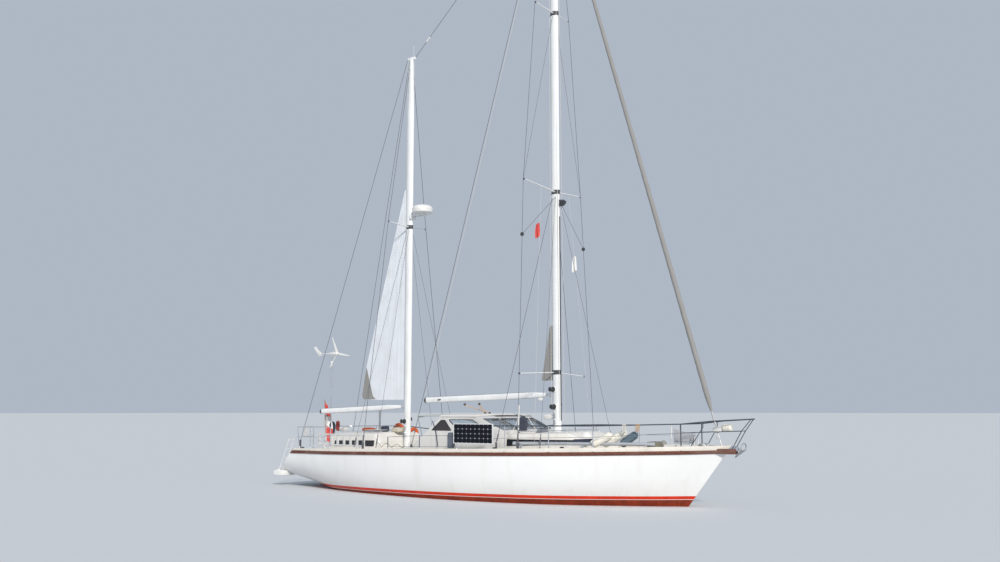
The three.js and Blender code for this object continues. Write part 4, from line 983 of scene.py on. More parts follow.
refined("doghouse", "doghouse_walls", white_gelcoat, 0.006, "deck_gelcoat")
wall_panes, wall_seals = [], []
for side in (-1, 1):
    face = side * WALL_HALF
    inner = side * (WALL_HALF - WALL_THICK)
    low, high = sorted((face - side * 0.012, face - side * 0.006))
    wall_panes.append(plate(QUARTER_WINDOW, low, high, 0.001, "xz"))
    for outline in (QUARTER_WINDOW, SIDE_WINDOW):
        wall_seals += [outline_seal(outline, face - side * 0.002), outline_seal(outline, inner)]
place("quarter_windows", joined(wall_panes), dark_pane, slot="smoked_glass")
place("window_seals", tubes(wall_seals, 0.007, rubber, bend=0.02, sides=8, closed=True),
      rubber, slot="smoked_glass")
side_panes = []
for side in (-1, 1):
    low, high = sorted((side * (WALL_HALF - 0.018), side * (WALL_HALF - 0.012)))
    side_panes.append(plate(SIDE_WINDOW, low, high, 0.001, "xz"))
place("side_windows", joined(side_panes), clear_glass, slot="screen_glass")
dress(clear_glass, "windscreen_glass")
slope = Vector((SCREEN_FOOT[0] - SCREEN_TOP[0], 0, SCREEN_FOOT[1] - SCREEN_TOP[1]))
seal_lines = []
for left, right in SCREEN_PANES:
    corners = [(0.14, left), (0.14, right), (0.90, right), (0.90, left)]
    seal_lines.append([Vector((SCREEN_TOP[0] + slope.x * f + 0.001, y, SCREEN_TOP[1] + slope.z * f + 0.003))
                       for f, y in corners])
place("windscreen_seals", tubes(seal_lines, 0.008, rubber, bend=0.03, sides=8, closed=True),
      rubber, slot="smoked_glass")


# Hard top, awning and its frame
# A moulded hard top glued on the doghouse, and behind it an awning of grey acrylic cloth
# laced between the top and a bent stainless bow.

ROOF_HALF, ROOF_Z, ROOF_CROWN, ROOF_THICK = 1.260, 2.045, 0.035, 0.040
ROOF_AFT, ROOF_FORE = -0.710, 0.475
AWNING_AFT, AWNING_FORE, AWNING_HALF, AWNING_Z = -1.640, -0.718, 1.080, 2.060
AWNING_CROWN, CLOTH_THICK = 0.040, 0.003


def roof_ring(y):
    """A fore-and-aft section of the hard top, with rounded ends."""
    crown = ROOF_Z + ROOF_CROWN * (1 - (y / ROOF_HALF) ** 2)
    edge = max(0.0, abs(y) - (ROOF_HALF - 0.03)) / 0.03
    thin = ROOF_THICK * (1 - 0.45 * edge ** 2)
    over = [(ROOF_AFT, crown + thin * 0.45), (ROOF_AFT + 0.012, crown + thin * 0.85),
            (ROOF_AFT + 0.04, crown + thin)]
    over += [(x, crown + thin) for x in (-0.4, -0.1, 0.2)]
    over += [(ROOF_FORE - 0.07, crown + thin), (ROOF_FORE - 0.02, crown + thin * 0.75),
             (ROOF_FORE, crown + thin * 0.3)]
    under = [(ROOF_FORE - 0.01, crown + 0.001), (0.0, crown + 0.001), (ROOF_AFT + 0.01, crown + 0.001)]
    return [(x, y, max(z, ROOF_Z + 0.0006)) for x, z in over + under]


roof_places = [-ROOF_HALF, -ROOF_HALF + 0.008, -ROOF_HALF + 0.03, *np.linspace(-1.1, 1.1, 12),
               ROOF_HALF - 0.03, ROOF_HALF - 0.008, ROOF_HALF]
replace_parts(place("roof_moulding", lofted([roof_ring(y) for y in roof_places]), top_paint,
                  slot="deck_gelcoat"), "hardtop")


def cloth_group():
    """Shader group: a plain weave in a plane, with slow folds, as a height and a mask."""
    group, given, where = shader_group("woven_cloth", [
        ("Colour", "NodeSocketColor", (0.5, 0.5, 0.5, 1)), ("Dirt", "NodeSocketColor", (0.2, 0.2, 0.18, 1)),
        ("Threads", "NodeSocketFloat", 400.0), ("Soiling", "NodeSocketFloat", 0.3),
        ("Folds", "NodeSocketVector", (3.0, 3.0, 1.0))])
    axes = add(group, "ShaderNodeSeparateXYZ", {0: where}).outputs
    waves = []
    for axis in ("X", "Y", "Z"):
        scaled = add(group, "ShaderNodeMath", {0: axes[axis], 1: given["Threads"]}, operation="MULTIPLY")
        waves.append(add(group, "ShaderNodeMath", {0: scaled.outputs[0]}, operation="SINE").outputs[0])
    weft = add(group, "ShaderNodeMath", {0: waves[0], 1: waves[1]}, operation="ADD")
    weave = add(group, "ShaderNodeMath", {0: weft.outputs[0], 1: waves[2]}, operation="MULTIPLY")
    folded = add(group, "ShaderNodeVectorMath", {0: where, 1: given["Folds"]}, operation="MULTIPLY")
    folds = add(group, "ShaderNodeTexNoise",
                {"Vector": folded.outputs[0], "Scale": 1.0, "Detail": 4.0, "Distortion": 0.4})
    height = add(group, "ShaderNodeMath", {0: weave.outputs[0], 1: 0.03, 2: folds.outputs["Fac"]},
                 operation="MULTIPLY_ADD")
    grime = add(group, "ShaderNodeTexNoise", {"Vector": where, "Scale": 2.3, "Detail": 5.0})
    mask = add(group, "ShaderNodeMapRange", {"Value": grime.outputs["Fac"], "From Min": 0.42,
                                             "From Max": 0.75, "To Max": given["Soiling"]})
    soiled = mixed(group, mask.outputs[0], given["Colour"], given["Dirt"])
    add(group, "NodeGroupOutput", {"Colour": soiled, "Mask": mask.outputs[0], "Height": height.outputs[0]})
    return group


CLOTH = cloth_group()


def cloth(name, colour, dirt=(0.2, 0.19, 0.16), threads=900.0, soiling=0.3, folds=(3.0, 3.0, 1.0), bump=0.5,
          depth=0.01, sheen=0.2):
    """A woven cloth of one colour, with folds along the given directions."""
    material, tree, shader = new_material(name)
    woven = add(tree, "ShaderNodeGroup", {"Colour": (*colour, 1), "Dirt": (*dirt, 1), "Threads": threads,
                                          "Soiling": soiling, "Folds": folds}, node_tree=CLOTH)
    rough = add(tree, "ShaderNodeMapRange", {"Value": woven.outputs["Mask"], "To Min": 0.75, "To Max": 0.95})
    relief = add(tree, "ShaderNodeBump",
                 {"Height": woven.outputs["Height"], "Strength": bump, "Distance": depth})
    wire_finish(tree, shader, woven.outputs["Colour"], rough, relief)
    shader.inputs["Sheen Weight"].default_value = sheen
    return material


def thick_sheet(name, grid, thickness, material, body="root", slot=None):
    """A sheet of cloth through a grid of points, with a real thickness."""
    columns = len(grid[0])
    verts = [tuple(p) for row in grid for p in row]
    faces = [(r * columns + c, r * columns + c + 1, (r + 1) * columns + c + 1, (r + 1) * columns + c)
             for r in range(len(grid) - 1) for c in range(columns - 1)]
    flat = bpy.data.meshes.new(name)
    flat.from_pydata(verts, [], faces)

    def thicken(seed):
        modifier = seed.modifiers.new("thick", "SOLIDIFY")
        modifier.thickness, modifier.offset = thickness, 0.0
    return place(name, evaluated(flat, thicken), material, body=body, slot=slot, angle=60)


awning_cloth = cloth("awning_cloth_grey", (0.42, 0.44, 0.43), folds=(1.2, 5.0, 1.0), threads=1400.0)
awning_grid = []
for f in np.linspace(0, 1, 15):
    x = AWNING_AFT + (AWNING_FORE - AWNING_AFT) * f
    sag = 0.012 * math.sin(f * math.pi)
    awning_grid.append([(x, g * AWNING_HALF, AWNING_Z + 0.01 * f - 0.004 + AWNING_CROWN * (1 - g * g) - sag
                         - 0.003 * math.cos(g * 14)) for g in np.linspace(-1, 1, 33)])
awning_sheet = thick_sheet("awning_sheet", awning_grid, CLOTH_THICK, awning_cloth, slot="awning_cloth")
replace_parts(awning_sheet, "aft_awning")
hem = tubes([[row[0] for row in awning_grid], [row[-1] for row in awning_grid], awning_grid[0],
             awning_grid[-1]], 0.006, awning_cloth, sides=8)
awning_hem = place("awning_hem", hem, awning_cloth, slot="awning_cloth")
bow_corner = (AWNING_AFT + 0.030, AWNING_HALF - 0.020, AWNING_Z - 0.034)
bow_across = [(AWNING_AFT + 0.030, g * (AWNING_HALF - 0.06), AWNING_Z - 0.032 + AWNING_CROWN * (1 - g * g))
              for g in np.linspace(-0.95, 0.95, 9)]
bow_path = [(-1.330, -AWNING_HALF - 0.140, 1.535), (bow_corner[0], -bow_corner[1], bow_corner[2]),
            *bow_across, bow_corner, (-1.330, AWNING_HALF + 0.140, 1.535)]
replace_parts(place("bow_tube", tubes([bow_path], 0.012, stainless, bend=0.05), stainless,
                  slot="stainless"), "awning_frame")


# Masts
# Two painted aluminium masts of oval section with a track up the aft side, tapered heads,
# crane plates, swept spreaders, winches and cleats; both stand on the boat's structure.

MAIN_X, MIZZEN_X = 2.100, -2.870
MAIN_SECTION, MIZZEN_SECTION = (0.115, 0.080), (0.1075, 0.070)
MAIN_FOOT, MAIN_HEAD, MAIN_TAPER = 1.500, 16.800, 2.600
MIZZEN_FOOT, MIZZEN_HEAD, MIZZEN_TAPER = 1.000, 12.500, 1.800
HEAD_FRACTION = 0.62
MAIN_CRANE = ((1.910, -0.034, 16.730), (2.230, 0.034, 16.824))
MIZZEN_CRANE = ((-3.000, -0.028, 12.440), (-2.720, 0.028, 12.518))
# Rows: x and z of the root, half span, z of the tip, sweep, radius at the root and tip.
MAIN_SPREADERS = [(2.100, 7.850, 1.376, 7.970, 0.080, 0.034, 0.020),
                  (2.100, 12.700, 0.822, 12.780, 0.070, 0.028, 0.018),
                  (2.050, 3.170, 1.560, 3.105, 0.060, 0.020, 0.020)]
MIZZEN_SPREADERS = [(-2.870, 7.440, 0.816, 7.510, 0.090, 0.028, 0.017)]
# Winches on the masts: x of the mast, side, z, angle round the mast from ahead.
MAST_WINCHES = [(MAIN_X, MAIN_SECTION, 2.790, 115), (MAIN_X, MAIN_SECTION, 2.360, 105),
                (MAIN_X, MAIN_SECTION, 2.300, -105), (MAIN_X, MAIN_SECTION, 2.740, -118),
                (MIZZEN_X, MIZZEN_SECTION, 1.960, 110), (MIZZEN_X, MIZZEN_SECTION, 1.900, -110)]


def mast(x, section, foot, head, taper):
    """An oval tube with a track groove aft and a head that tapers."""
    rings = []
    heights = [foot, foot + 0.5, foot + 2.0, (foot + head - taper) / 2, head - taper]
    heights += [head - taper * (1 - f) for f in (0.2, 0.4, 0.6, 0.8, 0.97, 1.0)]
    for z in heights:
        narrow = 1.0 - (1.0 - HEAD_FRACTION) * max(0.0, (z - (head - taper)) / taper)
        ring = []
        for i in range(44):
            a = 2 * math.pi * i / 44
            groove = 0.010 if i in (21, 22, 23) else 0.0
            ring.append((x + section[0] * narrow * math.cos(a) + groove,
                         section[1] * narrow * math.sin(a), z))
        rings.append(ring)
    return lofted(rings)


def spreader(x, root_z, half, tip_z, sweep, root, tip, side):
    """A streamlined strut swept aft from the mast, with a rounded end cap."""
    rings = []
    for f in (0.02, 0.3, 0.6, 0.9, 0.985, 1.0):
        thick = (root + (tip - root) * f) * (0.55 if f == 1.0 else 1.0)
        centre = Vector((x - sweep * f, side * half * f, root_z + (tip_z - root_z) * f))
        rings.append([centre + Vector((1.25 * thick * math.cos(a), 0, 0.62 * thick * math.sin(a)))
                      for a in around(20)])
    return lofted(rings)


def winch(foot, away, height, radius):
    """A drum winch: base, waist, flared top and crown, along a direction."""
    foot, away = Vector(foot), Vector(away).normalized()
    profile = [(0, radius * 1.12), (0.12, radius * 1.12), (0.18, radius * 0.86), (0.32, radius * 0.72),
               (0.60, radius * 0.72), (0.76, radius * 0.95), (0.82, radius * 0.98), (0.90, radius * 0.90),
               (0.97, radius * 0.62), (1, radius * 0.3)]
    return turned(foot, foot + away * height, profile, sides=28)


def horn_cleat(at, along, up, length=0.20):
    """A two-horned cleat on a foot."""
    at, along, up = Vector(at), Vector(along).normalized(), Vector(up).normalized()
    horn = [(0, 0.004), (0.12, 0.009), (0.4, 0.014), (0.6, 0.014), (0.88, 0.009), (1, 0.004)]
    top = at + up * 0.036
    parts = [turned(top - along * length / 2, top + along * length / 2, horn, sides=12)]
    parts += [turned(at + along * f, top + along * f, [(0, 0.014), (1, 0.011)], sides=10)
              for f in (-0.03, 0.03)]
    return joined(parts)


def pad_on_mast(x, section, z, angle, size, away):
    """A box on the face of a mast, at an angle from ahead. Returns the box's two corners."""
    a = math.radians(angle)
    centre = Vector((x + (section[0] + away) * math.cos(a), (section[1] + away) * math.sin(a), z))
    half = Vector(size) / 2
    return tuple(centre - half), tuple(centre + half)


mast_paint = weathered_material("mast_paint", (0.79, 0.80, 0.80), 0.38, stain=(0.42, 0.39, 0.34), runs=0.22,
                                tone=0.05, scale=1.6, pitting=60.0, bump=0.1)
sleeve_grey = weathered_material("dark_fittings", (0.05, 0.053, 0.06), 0.45, runs=0.15,
                                 scale=9.0, pitting=160.0)
for name, node, parts, cranes, spreaders in [
    ("main_mast_tube", "main_mast",
     (MAIN_X, MAIN_SECTION, MAIN_FOOT, MAIN_HEAD, MAIN_TAPER), MAIN_CRANE, MAIN_SPREADERS),
    ("mizzen_mast_tube", "mizzen_mast", (MIZZEN_X, MIZZEN_SECTION, MIZZEN_FOOT, MIZZEN_HEAD, MIZZEN_TAPER),
     MIZZEN_CRANE, MIZZEN_SPREADERS)]:
    meshes = [mast(*parts), block(*cranes, 0.006)]
    meshes += [spreader(*row, side) for row in spreaders for side in (-1, 1)]
    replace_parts(place(name, joined(meshes), mast_paint, slot="mast_paint"), node)

winches, pads = [], []
for x, section, z, angle in MAST_WINCHES:
    a = math.radians(angle)
    face = Vector((x + section[0] * math.cos(a), section[1] * math.sin(a), z))
    away = Vector((math.cos(a) * 0.5, math.sin(a), 0)).normalized()
    pads.append(block(*pad_on_mast(x, section, z, angle, (0.14, 0.05, 0.15), 0.0), 0.012))
    winches.append(winch(face + away * 0.02, away, 0.135, 0.062))
winch_black = weathered_material("black_winches", (0.030, 0.032, 0.038), 0.35, runs=0.1,
                                 scale=9.0, pitting=200.0)
place("mast_winches", joined(winches), winch_black, slot="stainless")
place("winch_pads", joined(pads), mast_paint, slot="mast_paint")

collars = []
for x, section, rows in [(MAIN_X, MAIN_SECTION, MAIN_SPREADERS),
                         (MIZZEN_X, MIZZEN_SECTION, MIZZEN_SPREADERS)]:
    for row in rows:
        ring = [[(x + (section[0] + 0.005) * math.cos(a), (section[1] + 0.005) * math.sin(a), row[1] + dz)
                 for a in around(36)] for dz in (-0.055, 0.055)]
        collars.append(lofted(ring))
        for side in (-1, 1):
            tip = Vector((row[0] - row[4], side * row[2], row[3]))
            collars.append(turned(tip - Vector((0, side * 0.03, 0)), tip + Vector((0, side * 0.016, 0)),
                                  [(0, row[6] * 1.28), (0.5, row[6] * 1.3), (1, row[6] * 0.8)], sides=16))
place("spreader_fittings", joined(collars), sleeve_grey, slot="stainless")

mast_cleats = [horn_cleat((MAIN_X, side * (MAIN_SECTION[1] + 0.001), z), (0, 0, 1), (0, side, 0), 0.18)
               for side in (-1, 1) for z in (1.92, 2.10)]
mast_cleats += [horn_cleat((MIZZEN_X, side * (MIZZEN_SECTION[1] + 0.001), z), (0, 0, 1), (0, side, 0), 0.16)
                for side in (-1, 1) for z in (1.52, 1.72)]
place("mast_cleats", joined(mast_cleats), stainless, slot="stainless")
pole_track = block((MAIN_X + MAIN_SECTION[0] - 0.004, -0.016, 1.95),
                   (MAIN_X + MAIN_SECTION[0] + 0.012, 0.016, 7.2), 0.003)
place("pole_track", pole_track, sleeve_grey, slot="stainless")
sheaves = [turned((x, -0.02, z), (x, 0.02, z), [(0, r), (0.2, r), (0.5, r * 0.8), (0.8, r), (1, r)], 20)
           for x, z, r in [(1.945, 16.775, 0.032), (2.205, 16.775, 0.026), (-2.975, 12.478, 0.024),
                           (-2.745, 12.478, 0.022)]]
place("head_sheaves", joined(sheaves), sleeve_grey, slot="stainless")
white_plastic = weathered_material("white_plastic", (0.72, 0.72, 0.70), 0.42, runs=0.2, scale=8.0,
                                   pitting=120.0, bump=0.08)
mast_box = [block((1.730, -0.075, 1.985), (1.930, 0.075, 2.105), 0.018, 3),
            block((1.905, -0.022, 2.02), (1.995, 0.022, 2.07), 0.004)]
place("mast_instrument_box", joined(mast_box), white_plastic, slot="white_plastic")
lamp_at = Vector((2.265, 0, 7.600))
lamp = [turned(lamp_at, lamp_at + Vector((0.070, 0, -0.085)),
               [(0, 0.055), (0.3, 0.085), (0.85, 0.100), (1, 0.085)], 24),
        block((2.190, -0.020, 7.575), (2.270, 0.020, 7.640), 0.006)]
place("deck_floodlight", joined(lamp), winch_black, slot="stainless")
aerials = [[(2.205, 0.02, 16.80), (2.205, 0.02, 17.28)], [(-2.790, 0.0, 12.50), (-2.790, 0.0, 12.86)]]
masthead = [tubes(aerials, 0.004, white_plastic, sides=8), turned((2.120, 0, 16.82), (2.120, 0, 16.93), [
    (0, 0.02), (0.15, 0.035), (0.75, 0.038), (1, 0.026)], 20)]
place("masthead_aerials", joined(masthead), white_plastic, slot="white_plastic")
vane = [tubes([[(2.225, -0.01, 16.80), (2.420, -0.01, 16.86)],
               [(2.420, -0.01, 16.80), (2.420, -0.01, 16.99)]], 0.004, sleeve_grey, sides=8)]
vane.append(plate([(2.30, 16.985), (2.30, 17.015), (2.53, 17.003), (2.53, 16.997)],
                  -0.012, -0.008, 0.001, "xz"))
vane += [turned((2.420 + 0.05 * math.cos(a), -0.01 + 0.05 * math.sin(a), 16.785),
                (2.420 + 0.05 * math.cos(a), -0.01 + 0.05 * math.sin(a), 16.815),
                [(0, 0.006), (0.6, 0.02), (1, 0.022)], 10) for a in (0, 2.1, 4.2)]
place("masthead_wind_vane", joined(vane), sleeve_grey, slot="stainless")


# Booms
# Two painted aluminium booms of rounded box section with a track on top and end castings,
# each turning on a stainless pin between two gooseneck plates on its mast.

# Rows: boom, its mast, pivot x, end of the plates, tip x, z of the axis at pivot and tip, depth, width.
BOOMS = [("main_boom", "main_mast", 1.900, 2.005, -2.260, 2.610, 2.480, 0.165, 0.105),
         ("mizzen_boom", "mizzen_mast", -3.045, -2.9575, -6.320, 2.310, 2.170, 0.150, 0.095)]
# Along a boom: distance from the tip, or (below zero) from the pivot, shares of the depth and width.
BOOM_SHAPE = [(0.080, 0.94, 0.96), (0.100, 0.97, 0.99), (0.160, 1.0, 1.0), (-0.620, 1.0, 1.0),
              (-0.360, 0.80, 0.82), (-0.125, 0.56, 0.61), (-0.066, 0.40, 0.44), (-0.060, 0.32, 0.36)]


def boom_tube(pivot, tip, inner, outer, depth, width):
    """The tube of a boom, tapered to the tongue at its inner end."""
    fall = (inner - outer) / (pivot - tip)
    rings = []
    for along, deep, wide in BOOM_SHAPE:
        x = tip + along if along > 0 else pivot + along
        mid = inner + (x - pivot) * fall
        rings.append([(x, width / 2 * wide * math.copysign(abs(math.sin(a)) ** 0.75, math.sin(a)),
                       mid + depth / 2 * deep * math.copysign(abs(math.cos(a)) ** 0.85, math.cos(a)))
                      for a in around(36)])
    return lofted(rings)


for node, stand, pivot, face, tip, inner, outer, depth, width in BOOMS:
    fall = (inner - outer) / (pivot - tip)
    top = [(x, inner + (x - pivot) * fall + depth / 2) for x in (tip + 0.19, pivot - 0.64)]
    tongue = [block((pivot - 0.10, -0.014, inner - 0.026), (pivot, 0.014, inner + 0.026), 0.005),
              turned((pivot, 0, inner - 0.032), (pivot, 0, inner + 0.032),
                     [(0, 0.018), (0.06, 0.020), (0.94, 0.020), (1, 0.018)], 24)]
    tube = boom_tube(pivot, tip, inner, outer, depth, width)
    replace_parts(place(node + "_tube", tube, mast_paint, body=node, slot="mast_paint"), node)
    place(node + "_tongue", joined(tongue), stainless, body=node, slot="stainless")
    track = lofted([[(x, y, z + up) for y, up in ((-0.012, -0.004), (-0.012, 0.006), (0.012, 0.006),
                                                  (0.012, -0.004))] for x, z in top])
    place(node + "_track", track, sleeve_grey, body=node, slot="stainless")
    caps = [lofted([[(tip + along, width / 2 * wide * math.sin(a), outer + depth / 2 * deep * math.cos(a))
                     for a in around(28)]
                    for along, deep, wide in ((0, 0.50, 0.55), (0.020, 0.80, 0.84), (0.055, 0.97, 0.99),
                                              (0.088, 0.98, 1.0))])]
    if node == "main_boom":
        caps.append(horn_cleat((tip + 0.584, -width / 2 + 0.002, outer + 0.584 * fall + depth * 0.02),
                               (1, 0, 0.03), (0, -1, 0), 0.11))
    place(node + "_fittings", joined(caps), sleeve_grey, body=node, slot="stainless")
    plates = [block((pivot - 0.026, -0.026, inner + low), (face, 0.026, inner + high), 0.004)
              for low, high in ((-0.062, -0.040), (0.040, 0.062))]
    plates.append(turned((pivot, 0, inner - 0.070), (pivot, 0, inner + 0.070), [
        (0, 0.015), (0.10, 0.015), (0.11, 0.010), (0.89, 0.010), (0.90, 0.015), (1, 0.015)], 20))
    place(stand + "_gooseneck", joined(plates), stainless, slot="stainless")


# Sails
# The mizzen is half set: white sailcloth with long upright creases and a grey patch at the
# clew. The mainsail is furled in its mast but for the clew, and the genoa is rolled on its
# stay under a grey strip, all of woven polyester.

MIZZEN_SAIL = [(-3.022, 2.480), (-3.022, 8.560), (-3.060, 8.560), (-4.455, 3.490),
               (-4.640, 2.530), (-4.160, 2.500)]
MAIN_CLEW = [(1.978, 2.930), (1.978, 4.370), (1.900, 4.370), (1.630, 2.960)]
SAIL_THICK = 0.0012
FORESTAY_FOOT, FORESTAY_HEAD = Vector((6.392, 0, 1.840)), Vector((2.262, 0, 16.500))
# Rows of the rolled genoa: fraction of the way up the stay, radius.
ROLL = [(0.024, 0.026), (0.030, 0.040), (0.045, 0.064), (0.10, 0.066), (0.30, 0.061), (0.55, 0.055),
        (0.80, 0.048), (0.93, 0.042), (0.932, 0.013)]


def edge_at(outline, z):
    """The two ends of an outline at a height, fore end first."""
    hits = []
    for (x0, z0), (x1, z1) in zip(outline, outline[1:] + outline[:1]):
        if min(z0, z1) <= z <= max(z0, z1) and abs(z1 - z0) > 1e-6:
            hits.append(x0 + (x1 - x0) * (z - z0) / (z1 - z0))
    return max(hits), min(hits)


sailcloth = cloth("white_sailcloth", (0.73, 0.76, 0.80), dirt=(0.45, 0.44, 0.42), threads=1800.0,
                  soiling=0.22, folds=(9.0, 2.0, 0.35), bump=0.7, depth=0.02, sheen=0.1)
grey_cloth = cloth("grey_strip_cloth", (0.27, 0.265, 0.255), dirt=(0.2, 0.19, 0.17), threads=1500.0,
                   soiling=0.25, folds=(5.0, 5.0, 0.6), bump=0.5, depth=0.012)

mizzen_grid = []
for f in np.linspace(0, 1, 61):
    z = 2.505 + (8.555 - 2.505) * f
    fore, aft = edge_at(MIZZEN_SAIL, z)
    row = []
    for g in np.linspace(0, 1, 25):
        lean = min(1.0, 1.6 * f) * min(1.0, 3 * (1 - f))
        crease = 0.0045 * math.sin(g * 31 + 0.6 * math.sin(5 * f)) * math.sin(math.pi * min(1, g * 1.6))
        crease *= 0.3 + 0.7 * lean
        row.append((fore + (aft - fore) * g, crease, z))
    mizzen_grid.append(row)
mizzen_sheet = thick_sheet("mizzen_sail_sheet", mizzen_grid, SAIL_THICK, sailcloth,
                           body="mizzen_boom", slot="sail_white")
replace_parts(mizzen_sheet, "mizzen_sail")
clew_rows = []
for f in np.linspace(0, 1, 11):
    z = 2.525 + 0.90 * f
    fore, aft = edge_at(MIZZEN_SAIL, z)
    inner = aft + 0.46 * (1 - f) + 0.015
    clew_rows.append([(inner + (aft + 0.004 - inner) * g, 0.0, z) for g in np.linspace(0, 1, 6)])
patch = thick_sheet("mizzen_clew_patch", clew_rows, 0.0135, grey_cloth, body="mizzen_boom", slot="sail_grey")
leech = [(edge_at(MIZZEN_SAIL, z)[1] + 0.002, 0, z) for z in np.linspace(2.56, 8.53, 30)]
leech_line = place("mizzen_leech_tape", tubes([leech], 0.005, sailcloth, sides=8), sailcloth,
                   body="mizzen_boom", slot="sail_white")

clew_grid = []
for f in np.linspace(0, 1, 25):
    z = 2.965 + (4.365 - 2.965) * f
    fore, aft = edge_at(MAIN_CLEW, z)
    clew_grid.append([(fore + (aft - fore) * g, 0.004 * math.sin(9 * g + 3 * f) * g, z)
                      for g in np.linspace(0, 1, 9)])
clew_sheet = thick_sheet("mainsail_clew_sheet", clew_grid, SAIL_THICK, grey_cloth, slot="sail_grey")
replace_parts(clew_sheet, "mainsail_clew")

stay_line = FORESTAY_HEAD - FORESTAY_FOOT
turn = stay_line.to_track_quat("Z", "Y").to_matrix()
roll_rings = []
for f in np.unique(np.concatenate([[r[0] for r in ROLL], np.linspace(0.03, 0.93, 150)])):
    radius = float(np.interp(f, [r[0] for r in ROLL], [r[1] for r in ROLL]))
    ring = []
    for i in range(28):
        a = 2 * math.pi * i / 28
        turns = (a / (2 * math.pi) + f * 34.0) % 1.0
        lap = 0.90 + 0.10 * turns if 0.03 <= f <= 0.93 else 0.9
        ring.append(FORESTAY_FOOT + stay_line * f
                    + turn @ Vector((radius * lap * math.cos(a), radius * lap * math.sin(a), 0)))
    roll_rings.append(ring)
roll = place("rolled_genoa", lofted(roll_rings), grey_cloth, slot="sail_grey", angle=70)
foil = [turned(FORESTAY_FOOT + stay_line * a, FORESTAY_FOOT + stay_line * b, [(0, r), (1, r)], 16)
        for a, b, r in [(-0.0008, 0.026, 0.012), (0.93, 1.0, 0.012)]]
foil.append(turned(FORESTAY_FOOT + stay_line * 0.004, FORESTAY_FOOT + stay_line * 0.022,
                   [(0, 0.024), (1, 0.022)], 20))
foil_grey = weathered_material("furling_foil", (0.42, 0.43, 0.44), 0.45, runs=0.2, scale=3.0,
                               pitting=200.0, metallic=0.3)
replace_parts(place("genoa_foil", joined(foil), foil_grey, slot="stainless"), "furled_genoa")
drum = turned(FORESTAY_FOOT + stay_line * -0.0085, FORESTAY_FOOT + stay_line * -0.0005,
              [(0, 0.080), (0.04, 0.088), (0.12, 0.088), (0.16, 0.055), (0.80, 0.055), (0.84, 0.088),
               (0.95, 0.088), (1, 0.070)], 36)
tack = turned(FORESTAY_FOOT + stay_line * -0.036, FORESTAY_FOOT + stay_line * -0.006,
              [(0, 0.016), (1, 0.016)], 16)
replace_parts(place("furling_drum", joined([drum, tack]), white_plastic, slot="white_plastic"), "furler_drum")


# Standing rigging
# Stainless wire stays with bottle screws at the chain plates and swaged ends; the aft stays
# carry white insulators, and lighter wires hold the middle of each mast.

CAP_SHROUD = [(2.100, -0.092, 16.300), (2.032, -0.838, 12.790), (2.022, -1.392, 7.985),
              (2.120, -1.812, 1.430)]
AFT_LOWER = [(2.050, -0.096, 7.680), (1.530, -1.868, 1.430)]
# Straps under the main shrouds: a place on the deck, the height of the foot and half a width.
CHAIN_STRAPS = [((2.120, -1.812), 1.222, 0.042), ((1.530, -1.868), 1.212, 0.026)]
# Light wires on the starboard side: each from the mast to the deck or a spreader.
LIGHT_WIRES = [
    [(2.095, -0.085, 12.62), (2.024, -1.386, 8.00)], [(2.150, -0.085, 7.72), (2.720, -1.765, 1.33)],
    [(-2.900, -0.075, 7.36), (-3.300, -1.700, 1.24)], [(-2.840, -0.075, 7.36), (-2.480, -1.730, 1.24)]]
# Bottle screws on the starboard side: the foot, and a place higher on the same wire.
BOTTLE_SCREWS = [
    ((2.120, -1.812, 1.420), (2.032, -1.400, 7.0)), ((1.530, -1.868, 1.420), (2.050, -0.096, 7.680)),
    ((2.720, -1.765, 1.330), (2.150, -0.085, 7.72)), ((-2.930, -1.755, 1.320), (-2.958, -0.832, 7.524)),
    ((-3.300, -1.700, 1.240), (-2.900, -0.075, 7.36)), ((-2.480, -1.730, 1.240), (-2.840, -0.075, 7.36))]
# Profiles of a bottle screw and an insulator: fraction of the length, radius.
SCREW_SHAPE = [(0, 0.012), (0.10, 0.012), (0.12, 0.008), (0.22, 0.008), (0.24, 0.017), (0.70, 0.017),
               (0.72, 0.008), (0.86, 0.009), (0.88, 0.011), (1, 0.009)]
INSULATOR_SHAPE = [(0, 0.012), (0.1, 0.026), (0.3, 0.020), (0.5, 0.026), (0.7, 0.020),
                   (0.9, 0.026), (1, 0.012)]
# Insulators: the two ends of their stay and how far along it.
INSULATORS = [((1.902, 0, 16.800), (-2.708, 0, 12.505), 0.60),
              ((1.902, 0, 16.800), (-2.708, 0, 12.505), 0.90)]


def mirrored(points):
    """The same points on the other side of the boat."""
    return [(x, -y, z) for x, y, z in points]


wire_steel = weathered_material("stay_wire", (0.13, 0.135, 0.15), 0.6, stain=(0.14, 0.12, 0.10), tone=0.1,
                                runs=0.3, scale=3.0, pitting=500.0, bump=0.1, metallic=0.4)
dress(wire_steel, "mizzen_cap_shroud_starboard", "mizzen_cap_shroud_port", "mizzen_backstay_starboard",
      "mizzen_backstay_port", "aft_stays")
for side, word in ((1, "starboard"), (-1, "port")):
    runs = [[(x, side * y, z) for x, y, z in path] for path in (CAP_SHROUD, AFT_LOWER)]
    straps = [block((x - half, side * y - 0.006, foot_z), (x + half, side * y + 0.006, 1.450), 0.004)
              for (x, y), foot_z, half in CHAIN_STRAPS]
    shrouds = place(f"main_shroud_wires_{word}", joined([tubes(runs, 0.006, wire_steel, sides=10), *straps]),
                    wire_steel, slot="stainless")
    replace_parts(shrouds, f"main_shrouds_{word}")
wires = LIGHT_WIRES + [mirrored(w) for w in LIGHT_WIRES]
place("light_stay_wires", tubes(wires, 0.0042, wire_steel, sides=8), wire_steel, slot="stainless")
screws = []
